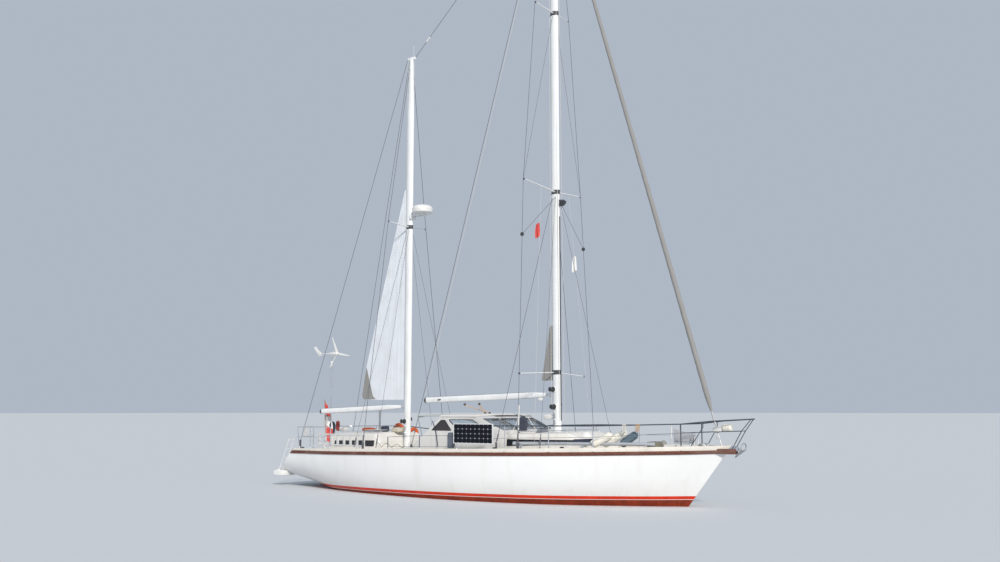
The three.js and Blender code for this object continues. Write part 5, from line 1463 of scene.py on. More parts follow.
for foot, head in BOTTLE_SCREWS:
    for side in (1, -1):
        low = Vector((foot[0], side * foot[1], foot[2]))
        up = (Vector((head[0], side * head[1], head[2])) - low).normalized()
        screws.append(turned(low - up * 0.02, low + up * 0.34, SCREW_SHAPE, 14))
place("bottle_screws", joined(screws), wire_steel, slot="stainless")
beads = []
for start, end, along in INSULATORS:
    start, end = Vector(start), Vector(end)
    centre = start.lerp(end, along)
    step = (end - start).normalized() * 0.09
    beads.append(turned(centre - step, centre + step, INSULATOR_SHAPE, 18))
place("stay_insulators", joined(beads), white_plastic, slot="white_plastic")
conduit = turned((2.114, -1.776, 1.75), (2.104, -1.736, 2.33), [(0, 0.020), (1, 0.020)], 18)
place("shroud_sleeve", conduit, white_plastic, slot="white_plastic")


# Running rigging
# Ropes held taut: the main topping lift, the mainsheet tackles between boom and hard top, the
# mizzen sheet and the halyards, with dark plastic blocks and two signal flags.

MAIN_LIFT = [(1.930, 0.010, 16.740), (-2.235, 0.006, 2.560)]
# Blocks of the mainsheet: x and z on the boom, then x and y on the hard top.
SHEET_BLOCKS = [(-0.850, 2.365), (-0.360, 2.375)]
SHEET_ANCHOR = [(-0.090, 0.10), (-0.090, -0.10)]
ANCHOR_HEIGHT = 2.135
MIZZEN_SHEET_HEAD, MIZZEN_SHEET_FOOT = -6.02, -6.10
# Halyards beside the masts: top and foot of each.
HALYARDS = [((1.985, -0.06, 16.70), (1.990, -0.095, 2.00)), ((2.150, -0.050, 16.70), (2.230, -0.085, 1.95)),
            ((2.215, 0.03, 16.70), (2.260, 0.09, 1.95)), ((-2.960, -0.05, 12.40), (-2.905, -0.085, 1.60)),
            ((-2.790, 0.04, 12.40), (-2.830, 0.085, 1.60))]


def pulley(at, radius=0.030, across=(0, 1, 0)):
    """A block with two cheeks and a sheave."""
    at, across = Vector(at), Vector(across).normalized()
    return turned(at - across * 0.017, at + across * 0.017,
                  [(0, radius * 0.8), (0.15, radius), (0.32, radius), (0.36, radius * 0.7),
                   (0.64, radius * 0.7), (0.68, radius), (0.85, radius), (1, radius * 0.8)], 20)


rope_white = cloth("braided_rope", (0.62, 0.60, 0.55), threads=2600.0, soiling=0.3, folds=(20.0, 20.0, 20.0),
                   bump=0.4, depth=0.002)
rope_tan = cloth("mainsheet_rope", (0.55, 0.36, 0.20), threads=2600.0, soiling=0.3, folds=(20.0, 20.0, 20.0),
                 bump=0.4, depth=0.002)
lift = place("main_topping_lift", tubes([MAIN_LIFT], 0.0045, rope_white, sides=6), rope_white,
             body=None, slot="stainless")
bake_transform(lift)
falls, boom_blocks, roof_blocks = [], [], []
for (x, z), (anchor_x, spread) in zip(SHEET_BLOCKS, SHEET_ANCHOR):
    boom_blocks.append(pulley((x, 0.0, z), 0.034))
    roof_blocks.append(pulley((anchor_x, spread, ANCHOR_HEIGHT), 0.028))
    falls += [[(x + dx, dy, z - 0.02), (anchor_x + dx * 0.6, spread + dy, ANCHOR_HEIGHT)]
              for dx, dy in ((-0.022, -0.010), (0.022, 0.010), (0.0, 0.0))]
mainsheet = place("mainsheet_falls", tubes(falls, 0.0055, rope_tan, sides=8), rope_tan,
                  body=None, slot="awning_cloth")
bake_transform(mainsheet)
place("mainsheet_boom_blocks", joined(boom_blocks), sleeve_grey, body="main_boom", slot="stainless")
place("mainsheet_roof_blocks", joined(roof_blocks), sleeve_grey, slot="stainless")
place("boom_control_box", block((1.545, -0.048, 2.452), (1.665, 0.040, 2.528), 0.014, 3), white_plastic,
      body="main_boom", slot="white_plastic")
hangers = [tubes([[(x, side * 0.018, z), (x, side * 0.034, z + 0.05), (x, side * 0.034, z + 0.095)]
                  for side in (-1, 1)], 0.005, stainless, bend=0.012, sides=8) for x, z in SHEET_BLOCKS]
place("boom_bails", joined(hangers), stainless, body="main_boom", slot="stainless")
mizzen_falls = [[(MIZZEN_SHEET_HEAD + dx, 0.0, 2.07), (MIZZEN_SHEET_FOOT + dx, 0.0, 1.30)]
                for dx in (-0.02, 0.02)]
mizzen_line = place("mizzen_sheet_falls", tubes(mizzen_falls, 0.005, rope_white, sides=8), rope_white,
                    body=None, slot="awning_cloth")
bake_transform(mizzen_line)
place("mizzen_sheet_block", pulley((MIZZEN_SHEET_HEAD, 0, 2.045), 0.030), sleeve_grey,
      body="mizzen_boom", slot="stainless")
eye_foot = (MIZZEN_SHEET_FOOT, 0, deck_height(MIZZEN_SHEET_FOOT, 0) - 0.005)
eye = tubes([[eye_foot, (MIZZEN_SHEET_FOOT, 0, 1.285)]], 0.008, stainless, sides=10)
place("mizzen_deck_block", joined([pulley((MIZZEN_SHEET_FOOT, 0, 1.30), 0.030), eye]),
      sleeve_grey, slot="stainless")
place("halyards", tubes([list(pair) for pair in HALYARDS], 0.0045, rope_white, sides=6),
      rope_white, slot="sail_white")
place("shroud_blocks", joined([pulley((2.043, side * 1.484, 6.545), 0.050) for side in (-1, 1)]),
      sleeve_grey, slot="stainless")
aside = [[(2.13, side * 0.085, 7.70), (2.043, side * 1.484, 6.545)] for side in (-1, 1)]
place("shroud_lines", tubes(aside, 0.005, wire_steel, sides=6), wire_steel, slot="stainless")
signal_lines = [[(2.05, -0.62, 7.92), (2.16, -1.15, 1.42)], [(2.04, 0.75, 7.92), (2.25, 1.45, 1.45)]]
place("signal_halyards", tubes(signal_lines, 0.0028, rope_white, sides=6), rope_white, slot="sail_white")


def hung_flag(name, top, width, tall, material, body="root", fold=0.02):
    """A small flag that hangs in soft upright folds from its line."""
    grid = []
    for f in np.linspace(0, 1, 17):
        grid.append([(top[0] - width * g * (0.62 + 0.1 * math.sin(3 * f)),
                      top[1] + fold * math.sin(9 * g + 2.2 * f) * (0.3 + f),
                      top[2] - tall * f - 0.05 * g) for g in np.linspace(0, 1, 15)])
    flag = thick_sheet(name, grid, 0.0012, material, body=body, slot="awning_cloth")
    return flag


flag_red = cloth("red_bunting", (0.62, 0.05, 0.04), threads=1500.0, soiling=0.15,
                 folds=(7.0, 2.0, 1.0), bump=0.3)
flag_white = cloth("white_bunting", (0.75, 0.75, 0.74), threads=1500.0, soiling=0.15,
                   folds=(7.0, 2.0, 1.0), bump=0.3)
hung_flag("red_signal_flag", (2.075, -0.74, 6.95), 0.18, 0.36, flag_red)
hung_flag("white_signal_flag", (2.13, 0.96, 6.30), 0.18, 0.40, flag_white)


# Radar
# A scanner in a closed dome of white plastic, bolted on a bracket of painted aluminium that
# stands out from the fore side of the mizzen mast.

RADAR_FOOT, RADAR_HALF, RADAR_TALL = Vector((-2.400, 0, 7.790)), 0.300, 0.250

dome = turned(RADAR_FOOT, RADAR_FOOT + Vector((0, 0, RADAR_TALL)),
              [(0, RADAR_HALF * 0.80), (0.03, RADAR_HALF * 0.86),
               (0.14, RADAR_HALF * 0.965), (0.36, RADAR_HALF * 0.995), (0.40, RADAR_HALF * 0.985),
               (0.42, RADAR_HALF), (0.60, RADAR_HALF * 0.985), (0.78, RADAR_HALF * 0.90),
               (0.91, RADAR_HALF * 0.72), (0.98, RADAR_HALF * 0.45), (1, RADAR_HALF * 0.12)], 56)
arms = [block((-2.775, side * 0.09 - 0.014, 7.738), (-2.290, side * 0.09 + 0.014, 7.793), 0.006)
        for side in (-1, 1)]
arms.append(block((-2.775, -0.12, 7.665), (-2.745, 0.12, 7.800), 0.006))
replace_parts(place("radome", dome, white_plastic, slot="white_plastic"), "radar")
place("radar_bracket", joined(arms), mast_paint, slot="mast_paint")


# Rails
# Bent stainless pulpit and pushpits, stanchions in cast bases, and rails and wires between
# them; the upper runs carry a dark blue-grey sleeve against the sun.

RAIL_INSET = 0.028
PULPIT_RADIUS, PULPIT_THIN, PUSHPIT_THIN = 0.0138, 0.0092, 0.0098
POST_RADIUS, STANCHION_RADIUS, SHORT_POST_RADIUS = 0.013, 0.0125, 0.0115
TOP_RAIL_RADIUS, WIRE_RADIUS = 0.0135, 0.004
# Posts and wires: x and height over the sheer.
STARBOARD_POSTS = [(3.960, 0.592), (2.930, 0.608), (1.800, 0.622), (0.430, 0.630)]
PORT_POSTS = [(5.040, 0.590), (3.620, 0.580), (2.170, 0.600), (0.740, 0.600), (-0.700, 0.560),
              (-2.200, 0.540), (-3.500, 0.550)]
STARBOARD_WIRES = [(0.430, 0.400), (-0.780, 0.405), (-1.900, 0.380)]
PULPIT_FOOT, PULPIT_HIGH, PULPIT_LOW = 5.780, 0.600, 0.400
RAIL_START, MIDDLE_WIRE = 5.760, 0.330
PUSHPIT_FEET, PUSHPIT_HIGH, PUSHPIT_LOW = (-4.300, -5.300), 0.655, 0.380
BASE_LIFT = Vector((0, 0, 0.004))
STERN_POLE, POLE_FOOT, POLE_HEAD = (-6.375, 0.500), 0.945, 3.855


def rail_point(x, side, height, inset=RAIL_INSET):
    """A point over the deck's edge."""
    beam, sheer = deck_edge(x)
    return Vector((x, side * (beam - inset), sheer + height))


def stanchion_base(foot):
    """A cast base with a flange and a socket round a stanchion's foot."""
    foot = Vector(foot)
    return turned(foot, foot + Vector((0, 0, 0.095)),
                  [(0, 0.040), (0.08, 0.040), (0.12, 0.024), (0.85, 0.0195), (1, 0.0165)], 18)


def pulpit_lines(side):
    """One side's top tube, lower tube and fore leg of the pulpit."""
    top = [rail_point(PULPIT_FOOT, side, PULPIT_HIGH), Vector((6.420, side * 0.330, 1.965)),
           Vector((7.270, side * 0.070, 2.015)), Vector((7.318, 0, 2.018))]
    low = [rail_point(PULPIT_FOOT, side, PULPIT_LOW), Vector((6.420, side * 0.320, 1.725)),
           Vector((7.050, side * 0.120, 1.748))]
    leg = [Vector((7.262, side * 0.074, 2.010)), Vector((7.050, side * 0.120, 1.748)),
           Vector((6.810, side * 0.100, 1.345))]
    return top, low, leg


rail_sleeve = weathered_material("rail_sleeve", (0.045, 0.055, 0.075), 0.5, stain=(0.12, 0.12, 0.12),
                                 runs=0.3, scale=6.0, pitting=150.0, bump=0.1)
tops, thin, posts, bases = [], [], [], []
for side in (-1, 1):
    top, low, leg = pulpit_lines(side)
    tops.append(top)
    thin += [low, leg, [Vector((6.250, side * 0.404, 1.935)), Vector((6.250, side * 0.404, 1.830)),
                        Vector((5.960, side * 0.462, 1.380))]]
    posts.append([rail_point(PULPIT_FOOT, side, 0.0), rail_point(PULPIT_FOOT, side, PULPIT_HIGH)])
    bases += [rail_point(PULPIT_FOOT, side, 0.004), Vector((5.960, side * 0.462, 1.352))]
pulpit_mesh = joined([tubes(tops, PULPIT_RADIUS, rail_sleeve, bend=0.07),
                      tubes(thin, PULPIT_THIN, rail_sleeve, bend=0.04),
                      tubes(posts, POST_RADIUS, rail_sleeve)])
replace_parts(place("pulpit_tubes", pulpit_mesh, rail_sleeve, slot="rail_sleeve"), "pulpit")

for side, node in ((-1, "pushpit_starboard"), (1, "pushpit_port")):
    runs = []
    for height, radius in ((PUSHPIT_HIGH, PULPIT_RADIUS), (PUSHPIT_LOW, PUSHPIT_THIN)):
        path = [rail_point(x, side, height) for x in PUSHPIT_FEET]
        path += [Vector((-6.080, side * 1.140, 1.064 + height)),
                 Vector((-6.150, side * 1.060, 1.064 + height)),
                 Vector((-6.150, side * 0.430, 1.070 + height))]
        runs.append(tubes([path], radius, stainless, bend=0.08))
    uprights = [[rail_point(x, side, 0.0), rail_point(x, side, PUSHPIT_HIGH)] for x in PUSHPIT_FEET]
    uprights.append([Vector((-6.150, side * 0.430, 1.070)),
                     Vector((-6.150, side * 0.430, 1.070 + PUSHPIT_HIGH))])
    uprights.append([Vector((-6.080, side * 1.140, 1.719)), Vector((-6.010, side * 1.105, 1.080))])
    bases += [path[0] + BASE_LIFT for path in uprights[:3]] + [Vector((-6.010, side * 1.105, 1.074))]
    runs.append(tubes(uprights, POST_RADIUS, stainless))
    if side == 1:
        runs.append(tubes([[(*STERN_POLE, POLE_FOOT), (*STERN_POLE, POLE_HEAD)]],
                          0.024, stainless, sides=20))
        runs += [tubes([[(*STERN_POLE, z), (-6.150, 0.430, z)]], 0.010, stainless) for z in (1.700, 1.440)]
    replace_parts(place(node + "_tubes", joined(runs), stainless, slot="stainless"), node)


def lifeline_side(side, posts_rows, node):
    """The stanchions, the sleeved top run and the middle wire of one side."""
    top = [rail_point(RAIL_START, side, PULPIT_HIGH)] + [rail_point(x, side, h) for x, h in posts_rows]
    stands = [[rail_point(x, side, 0.0), rail_point(x, side, h)] for x, h in posts_rows]
    wire = [rail_point(RAIL_START, side, PULPIT_LOW)] + [rail_point(x, side, MIDDLE_WIRE)
                                                         for x, _ in posts_rows]
    place(node + "_stanchions", tubes(stands, STANCHION_RADIUS, stainless), stainless, slot="stainless")
    parts = [tubes([top], TOP_RAIL_RADIUS, rail_sleeve), tubes([wire], WIRE_RADIUS, rail_sleeve, sides=8)]
    return parts, [path[0] + BASE_LIFT for path in stands]


parts, feet = lifeline_side(-1, STARBOARD_POSTS, "rail_starboard")
bases += feet
high = [rail_point(x, -1, h) for x, h in STARBOARD_WIRES]
low = [rail_point(x, -1, 0.130) for x, _ in STARBOARD_WIRES]
short = [[rail_point(x, -1, 0.0), rail_point(x, -1, h)] for x, h in STARBOARD_WIRES[1:]]
bases += [path[0] + BASE_LIFT for path in short]
parts += [tubes([high, low], WIRE_RADIUS + 0.0005, rail_sleeve, sides=8),
          tubes(short, SHORT_POST_RADIUS, rail_sleeve)]
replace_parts(place("starboard_rail", joined(parts), rail_sleeve, slot="rail_sleeve"), "rail_starboard")
parts, feet = lifeline_side(1, PORT_POSTS, "rail_port")
bases += feet
last = PORT_POSTS[-1]
aft_run = [rail_point(last[0], 1, last[1]), rail_point(-4.285, 1, PUSHPIT_HIGH - 0.012)]
parts.append(tubes([aft_run], STANCHION_RADIUS, rail_sleeve))
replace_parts(place("port_rail", joined(parts), rail_sleeve, slot="rail_sleeve"), "rail_port")
place("stanchion_bases", joined([stanchion_base(foot) for foot in bases]), stainless, slot="stainless")


# Solar panel
# A framed panel of nine by four dark cells under glass, clamped to the starboard rail, with
# an aluminium frame and light lines between the cells.

PANEL_LOW, PANEL_HIGH = Vector((0.355, -2.052, 1.400)), Vector((1.555, -2.017, 1.890))
CELLS, CELL_ROWS, FRAME_WIDE = 9, 4, 0.020


def cell_tree():
    """Geometry nodes: the cell that comes in, repeated over a grid that stands in the x-z plane."""
    tree, given = geometry_tree("cells", [
        ("Wide", "NodeSocketFloat", 1.0), ("Tall", "NodeSocketFloat", 0.4), ("Columns", "NodeSocketInt", 9),
        ("Rows", "NodeSocketInt", 4), ("Centre", "NodeSocketVector", (0, 0, 0)),
        ("Finish", "NodeSocketMaterial", None)])
    grid = add(tree, "GeometryNodeMeshGrid", {"Size X": given["Wide"], "Size Y": given["Tall"],
                                              "Vertices X": given["Columns"], "Vertices Y": given["Rows"]})
    cells = add(tree, "GeometryNodeInstanceOnPoints",
                {"Points": grid.outputs[0], "Instance": given["Geometry"]})
    stood = add(tree, "GeometryNodeTransform", {
        "Geometry": cells.outputs[0], "Translation": given["Centre"], "Rotation": (math.pi / 2, 0, 0)})
    finish_tree(tree, stood.outputs[0], given["Finish"])
    return tree


cell_blue = weathered_material("solar_cells", (0.003, 0.004, 0.008), 0.34, stain=(0.01, 0.01, 0.01),
                               tone=0.05, runs=0.1, scale=3.0, pitting=300.0, bump=0.02, specular=0.25)
cell_backing = weathered_material("panel_backing", (0.42, 0.44, 0.49), 0.45, tone=0.03, runs=0.1, scale=5.0,
                                  pitting=200.0, bump=0.03, specular=0.25)
frame_white = weathered_material("panel_frame", (0.66, 0.67, 0.68), 0.35, runs=0.15, scale=8.0,
                                 pitting=140.0, bump=0.06)
middle = (PANEL_LOW + PANEL_HIGH) / 2
size = PANEL_HIGH - PANEL_LOW
pitch_x = (size.x - 2 * FRAME_WIDE) / CELLS
pitch_z = (size.z - 2 * FRAME_WIDE) / CELL_ROWS
frame_bars = [block(PANEL_LOW, (PANEL_HIGH.x, PANEL_HIGH.y, PANEL_LOW.z + FRAME_WIDE), 0.003),
              block((PANEL_LOW.x, PANEL_LOW.y, PANEL_HIGH.z - FRAME_WIDE), PANEL_HIGH, 0.003),
              block((PANEL_LOW.x, PANEL_LOW.y, PANEL_LOW.z + FRAME_WIDE - 0.002),
                    (PANEL_LOW.x + FRAME_WIDE, PANEL_HIGH.y, PANEL_HIGH.z - FRAME_WIDE + 0.002), 0.003),
              block((PANEL_HIGH.x - FRAME_WIDE, PANEL_LOW.y, PANEL_LOW.z + FRAME_WIDE - 0.002),
                    (PANEL_HIGH.x, PANEL_HIGH.y, PANEL_HIGH.z - FRAME_WIDE + 0.002), 0.003)]
for f in (0.18, 0.72):
    x = PANEL_LOW.x + size.x * f
    frame_bars.append(block((x - 0.016, PANEL_HIGH.y - 0.004, 1.790),
                            (x + 0.016, PANEL_HIGH.y + 0.06, 1.850), 0.004))
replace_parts(place("panel_frame", joined(frame_bars), frame_white, slot="aluminium_tube"), "solar_panel")
backing = block((PANEL_LOW.x + 0.010, PANEL_LOW.y + 0.008, PANEL_LOW.z + 0.010),
                (PANEL_HIGH.x - 0.010, PANEL_HIGH.y - 0.012, PANEL_HIGH.z - 0.010), 0.001)
place("panel_backing", backing, cell_backing, slot="solar_cells")
half_x, half_z, clip = pitch_x / 2 - 0.0010, pitch_z / 2 - 0.0010, 0.017
quarter = [(half_x, half_z - clip), (half_x - clip, half_z)]
cell_outline = quarter + [(-x, z) for x, z in reversed(quarter)] + [(-x, -z) for x, z in quarter]
cell_outline += [(x, -z) for x, z in reversed(quarter)]
cell_seed = plate(cell_outline, -0.0006, 0.0006)
cells = grown(cell_seed, cell_tree(), {
    "Wide": pitch_x * (CELLS - 1), "Tall": pitch_z * (CELL_ROWS - 1), "Columns": CELLS, "Rows": CELL_ROWS,
    "Centre": (middle.x, PANEL_LOW.y + 0.0072, middle.z), "Finish": cell_blue})
place("panel_cells", joined([cells]), cell_blue, slot="solar_cells")


# Gangway
# A boarding plank of aluminium side beams and light slats, stowed on edge on its chocks
# along the starboard side of the aft deck.

GANGWAY_LONG, GANGWAY_TALL, GANGWAY_SLATS = 2.130, 0.330, 8
# The side beam's section: y and z.
BEAM_SECTION = [(-0.022, 0.006), (-0.016, 0), (0.016, 0), (0.022, 0.006), (0.022, 0.039), (0.016, 0.045),
                (-0.016, 0.045), (-0.022, 0.039)]
GANGWAY_AT, GANGWAY_TURN = Vector((-5.030, -1.330, 1.232)), math.radians(-9.6)

plank = [lofted([[(x, y, z0 + dz) for y, dz in BEAM_SECTION] for x in (0.0, GANGWAY_LONG)])
         for z0 in (0.0, GANGWAY_TALL - 0.045)]
plank.append(row_of_boxes(GANGWAY_SLATS, (0.045, 0, GANGWAY_TALL / 2),
                          ((GANGWAY_LONG - 0.090) / (GANGWAY_SLATS - 1), 0, 0),
                          (0.090, 0.026, GANGWAY_TALL - 0.06), frame_white, bevel=0.004))
plank += [block((x, -0.028, -0.145), (x + 0.09, 0.028, 0.014), 0.006) for x in (0.260, 1.780)]
plank_mesh = joined(plank)
plank_mesh.transform(Matrix.Translation(GANGWAY_AT) @ Matrix.Rotation(GANGWAY_TURN, 4, "Z"))
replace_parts(place("boarding_plank", plank_mesh, white_gelcoat, slot="white_plastic"), "gangway")


# Foredeck
# A deck locker with a grey lid propped open, an electric windlass with its chain, a spare
# pole in chocks, inflated fenders, a canvas cover, a net of spare line and the anchor.

LID_AFT, LID_FORE, LID_UNDER = 5.330, 5.880, 1.447
WINDLASS_X, WINDLASS_Z = 6.085, 1.395
# Fenders: two ends and a radius.
CREAM_FENDERS = [((3.830, -1.270, 1.390), (4.310, -1.120, 1.670), 0.086),
                 ((4.000, -1.060, 1.390), (4.610, -0.960, 1.720), 0.088)]
BLUE_FENDER = ((4.420, -0.960, 1.395), (4.820, -0.840, 1.690), 0.094)
CHAIN_LINKS = 34
ROLLER_CHEEK = [(6.690, 1.300), (6.905, 1.300), (6.925, 1.352), (6.885, 1.408),
                (6.760, 1.400), (6.690, 1.350)]
# The anchor's fluke, from its tip: x, half width and z.
FLUKE = [(6.835, 0.006, 1.155), (6.880, 0.055, 1.198), (6.940, 0.095, 1.242), (7.000, 0.122, 1.292),
         (7.040, 0.140, 1.325)]
POLE_SHAPE = [(0, 0.030), (0.004, 0.043), (0.03, 0.043), (0.031, 0.040), (0.969, 0.040), (0.97, 0.043),
              (0.996, 0.043), (1, 0.030)]


def fender(start, end, radius):
    """An inflated fender: a long body with domed ends and a rope eye at each end."""
    length = (Vector(end) - Vector(start)).length
    dome = radius * 0.95 / length
    profile = [(0, radius * 0.16), (0.02, radius * 0.20), (0.035, radius * 0.22)]
    profile += [(0.035 + dome * (1 - math.cos(a)), radius * (0.22 + 0.78 * math.sin(a)))
                for a in np.linspace(0.2, math.pi / 2, 7)]
    profile += [(0.5, radius * 1.01)]
    profile += [(1 - f, r) for f, r in reversed(profile[:-1])]
    return turned(start, end, profile, 28)


def bundle(low, high, seed=1.0, lumps=0.10, square=0.55):
    """A soft stuffed form filling a box, with rounded corners and uneven sides."""
    low, high = Vector(low), Vector(high)
    centre, half = (low + high) / 2, (high - low) / 2
    rings = []
    for v in np.linspace(-math.pi / 2 + 0.06, math.pi / 2 - 0.06, 15):
        ring = []
        for a in around(30):
            unit = Vector((math.cos(v) ** square * math.copysign(abs(math.cos(a)) ** square, math.cos(a)),
                           math.cos(v) ** square * math.copysign(abs(math.sin(a)) ** square, math.sin(a)),
                           math.copysign(abs(math.sin(v)) ** square, math.sin(v))))
            swell = 1 - lumps + lumps * noise.noise(Vector((unit.x * 1.7 + seed,
                                                            unit.y * 1.7, unit.z * 1.7)) * 1.3)
            swell += lumps * 0.35 * noise.noise(Vector((unit.x * 5 + seed, unit.y * 5, unit.z * 3)))
            ring.append(centre + Vector((unit.x * half.x, unit.y * half.y, unit.z * half.z)) * swell)
        rings.append(ring)
    return lofted(rings)


def soft(name, mesh, material, fill=0.6, body="root", slot="dark_canvas"):
    """A stuffed piece."""
    piece = place(name, mesh, material, body=body, slot=slot, angle=60)
    return piece


def chain(path, link=0.040, wire=0.0045):
    """A run of chain: rings turned a quarter from one to the next."""
    points = [Vector(p) for p in path]
    links = []
    for i, (a, b) in enumerate(zip(points, points[1:])):
        frame_at = (b - a).to_track_quat("X", "Z").to_matrix()
        twist = Matrix.Rotation(math.pi / 2 * (i % 2), 3, "X")
        loop = [twist @ Vector((link * 0.62 * math.cos(t), link * 0.36 * math.sin(t), 0))
                for t in around(14)]
        links.append([(a + b) / 2 + frame_at @ p for p in loop])
    return tubes(links, wire, galvanised, sides=6, closed=True)


galvanised = weathered_material("galvanised_steel", (0.42, 0.43, 0.44), 0.5, stain=(0.28, 0.18, 0.10),
                                runs=0.35, tone=0.12, scale=12.0, pitting=120.0, bump=0.2, metallic=0.7)
lid_grey = weathered_material("grey_moulding", (0.46, 0.47, 0.50), 0.45, stain=(0.2, 0.2, 0.19), runs=0.2,
                              scale=5.0, pitting=120.0, bump=0.1)
fender_cream = weathered_material("cream_vinyl", (0.82, 0.79, 0.70), 0.45, stain=(0.30, 0.25, 0.17),
                                  runs=0.45, tone=0.06, scale=6.0, pitting=60.0, bump=0.12)
fender_blue = weathered_material("blue_grey_vinyl", (0.10, 0.15, 0.19), 0.5, stain=(0.20, 0.20, 0.18),
                                 runs=0.4, scale=6.0, pitting=60.0, bump=0.12)
olive_canvas = cloth("olive_canvas", (0.16, 0.16, 0.11), folds=(9.0, 9.0, 7.0), threads=1100.0,
                     soiling=0.4, bump=0.8)
navy_canvas = cloth("navy_canvas", (0.018, 0.026, 0.055), dirt=(0.09, 0.09, 0.09), folds=(7.0, 7.0, 5.0),
                    threads=1100.0, soiling=0.35, bump=0.8)
net_line = cloth("grey_net", (0.30, 0.30, 0.27), folds=(16.0, 16.0, 16.0), threads=700.0,
                 soiling=0.4, bump=1.0)
pole_grey = weathered_material("anodised_pole", (0.55, 0.57, 0.60), 0.34, runs=0.2, tone=0.06, scale=5.0,
                               pitting=150.0, bump=0.08, metallic=0.5)

refined("fore_locker", "locker_moulding", white_gelcoat, 0.010, "deck_gelcoat", 3)
refined("fore_locker_lid", "locker_lid_panel", lid_grey, 0.006, "grey_plastic", 3)
ribs = [block((LID_AFT + 0.03, side * 0.012 - 0.004, LID_UNDER + 0.03),
              (LID_FORE - 0.03, side * 0.012 + 0.004, LID_UNDER + 0.055), 0.002) for side in (-1, 1)]
knobs = [turned((x, 0.0, LID_UNDER - 0.004), (x, 0.0, LID_UNDER + 0.026), [(0, 0.0135), (1, 0.0135)], 14)
         for x in (5.42, 5.79)]
place("locker_lid_hinges", joined(ribs + knobs), stainless, body="fore_locker_lid", slot="stainless")
windlass = [turned((WINDLASS_X, side * 0.128, WINDLASS_Z), (WINDLASS_X, side * 0.186, WINDLASS_Z),
                   [(0, 0.052), (0.12, 0.066), (0.3, 0.058), (0.5, 0.046), (0.72, 0.056), (0.9, 0.066),
                    (1, 0.050)], 28) for side in (-1, 1)]
windlass.append(turned((WINDLASS_X, -0.04, WINDLASS_Z), (WINDLASS_X, 0.04, WINDLASS_Z),
                       [(0, 0.066), (0.3, 0.07), (0.7, 0.07), (1, 0.066)], 28))
place("windlass_drums", joined(windlass), galvanised, slot="galvanised")
chain_path = [(6.150 + 0.64 * f, 0.0, 1.402 - 0.030 * math.sin(f * math.pi) - 0.006 * f)
              for f in np.linspace(0, 1, CHAIN_LINKS)]
place("anchor_chain", chain(chain_path, 0.030, 0.0036), galvanised, slot="galvanised")
cheeks = [plate(ROLLER_CHEEK, *sorted((side * 0.030, side * 0.036)), 0.002, "xz") for side in (-1, 1)]
cheeks.append(turned((6.880, -0.030, 1.345), (6.880, 0.030, 1.345),
                     [(0, 0.030), (0.5, 0.020), (1, 0.030)], 20))
place("anchor_roller", joined(cheeks), stainless, slot="stainless")

anchor_parts = [tubes([[(6.785, 0, 1.370), (6.900, 0, 1.374), (6.985, 0, 1.284)]], 0.0175,
                      galvanised, bend=0.03, sides=14)]
fluke_rings = []
for x, half, z in FLUKE:
    fluke_rings.append([(x + 0.006, -half, z - 0.007), (x + 0.009, 0, z - 0.015),
                        (x + 0.006, half, z - 0.007), (x - 0.006, half, z + 0.007),
                        (x - 0.003, 0, z - 0.002), (x - 0.006, -half, z + 0.007)])
anchor_parts.append(lofted(fluke_rings))
bar = [(7.028, 0.128, 1.315), (7.042, 0.150, 1.400), (7.052, 0.096, 1.455), (7.055, 0.0, 1.473)]
anchor_parts.append(tubes([[(x, -y, z) for x, y, z in bar] + bar[-2::-1]], 0.0115, galvanised, bend=0.06))
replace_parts(place("bow_anchor", joined(anchor_parts), galvanised, slot="galvanised"), "anchor")

pole_start, pole_end = Vector((1.950, -1.770, 1.425)), Vector((5.250, -0.830, 1.440))
pole_parts = [turned(pole_start, pole_end, POLE_SHAPE, 28)]
for f in (0.06, 0.5, 0.94):
    at = pole_start.lerp(pole_end, f)
    deck_z = deck_height(at.x, at.y)
    pole_parts.append(block((at.x - 0.022, at.y - 0.032, deck_z - 0.004),
                            (at.x + 0.022, at.y + 0.032, at.z - 0.010), 0.006))
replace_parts(place("spare_pole", joined(pole_parts), pole_grey, slot="aluminium_tube"), "stowed_pole")

for i, (start, end, radius) in enumerate(CREAM_FENDERS):
    soft(f"cream_fender_{i + 1}", fender(start, end, radius), fender_cream, 1.0, slot="white_plastic")
soft("blue_fender", fender(*BLUE_FENDER), fender_blue, 1.0, slot="grey_plastic")
soft("low_canvas_cover", bundle((4.840, -0.620, 1.330), (5.200, -0.050, 1.500), 3.0, 0.12),
     olive_canvas, 0.5)
soft("net_bundle", bundle((5.130, -0.400, 1.350), (5.290, -0.210, 1.530), 5.0, 0.18, 0.9), net_line, 0.4)
soft("furler_line_bag", turned((6.560, 0.0, 1.812), (6.775, 0.0, 1.818), [
    (0, 0.060), (0.04, 0.076), (0.12, 0.082), (0.5, 0.083), (0.86, 0.082), (0.95, 0.080), (1, 0.070)], 28),
     fender_cream, 0.6, slot="white_plastic")
soft("mast_foot_canvas", bundle((1.800, -0.620, 1.625), (2.000, -0.130, 1.735), 9.0, 0.16, 0.5),
     navy_canvas, 0.4)
dome_foot = Vector((3.120, -0.300, 1.530))
vent = turned(dome_foot, dome_foot + Vector((0.030, 0, 0.165)), [
    (0, 0.150), (0.30, 0.158), (0.42, 0.150), (0.62, 0.128), (0.80, 0.098), (0.93, 0.060), (1, 0.018)], 36)
place("fore_dome_vent", vent, white_plastic, slot="white_plastic")
flap_grid = []
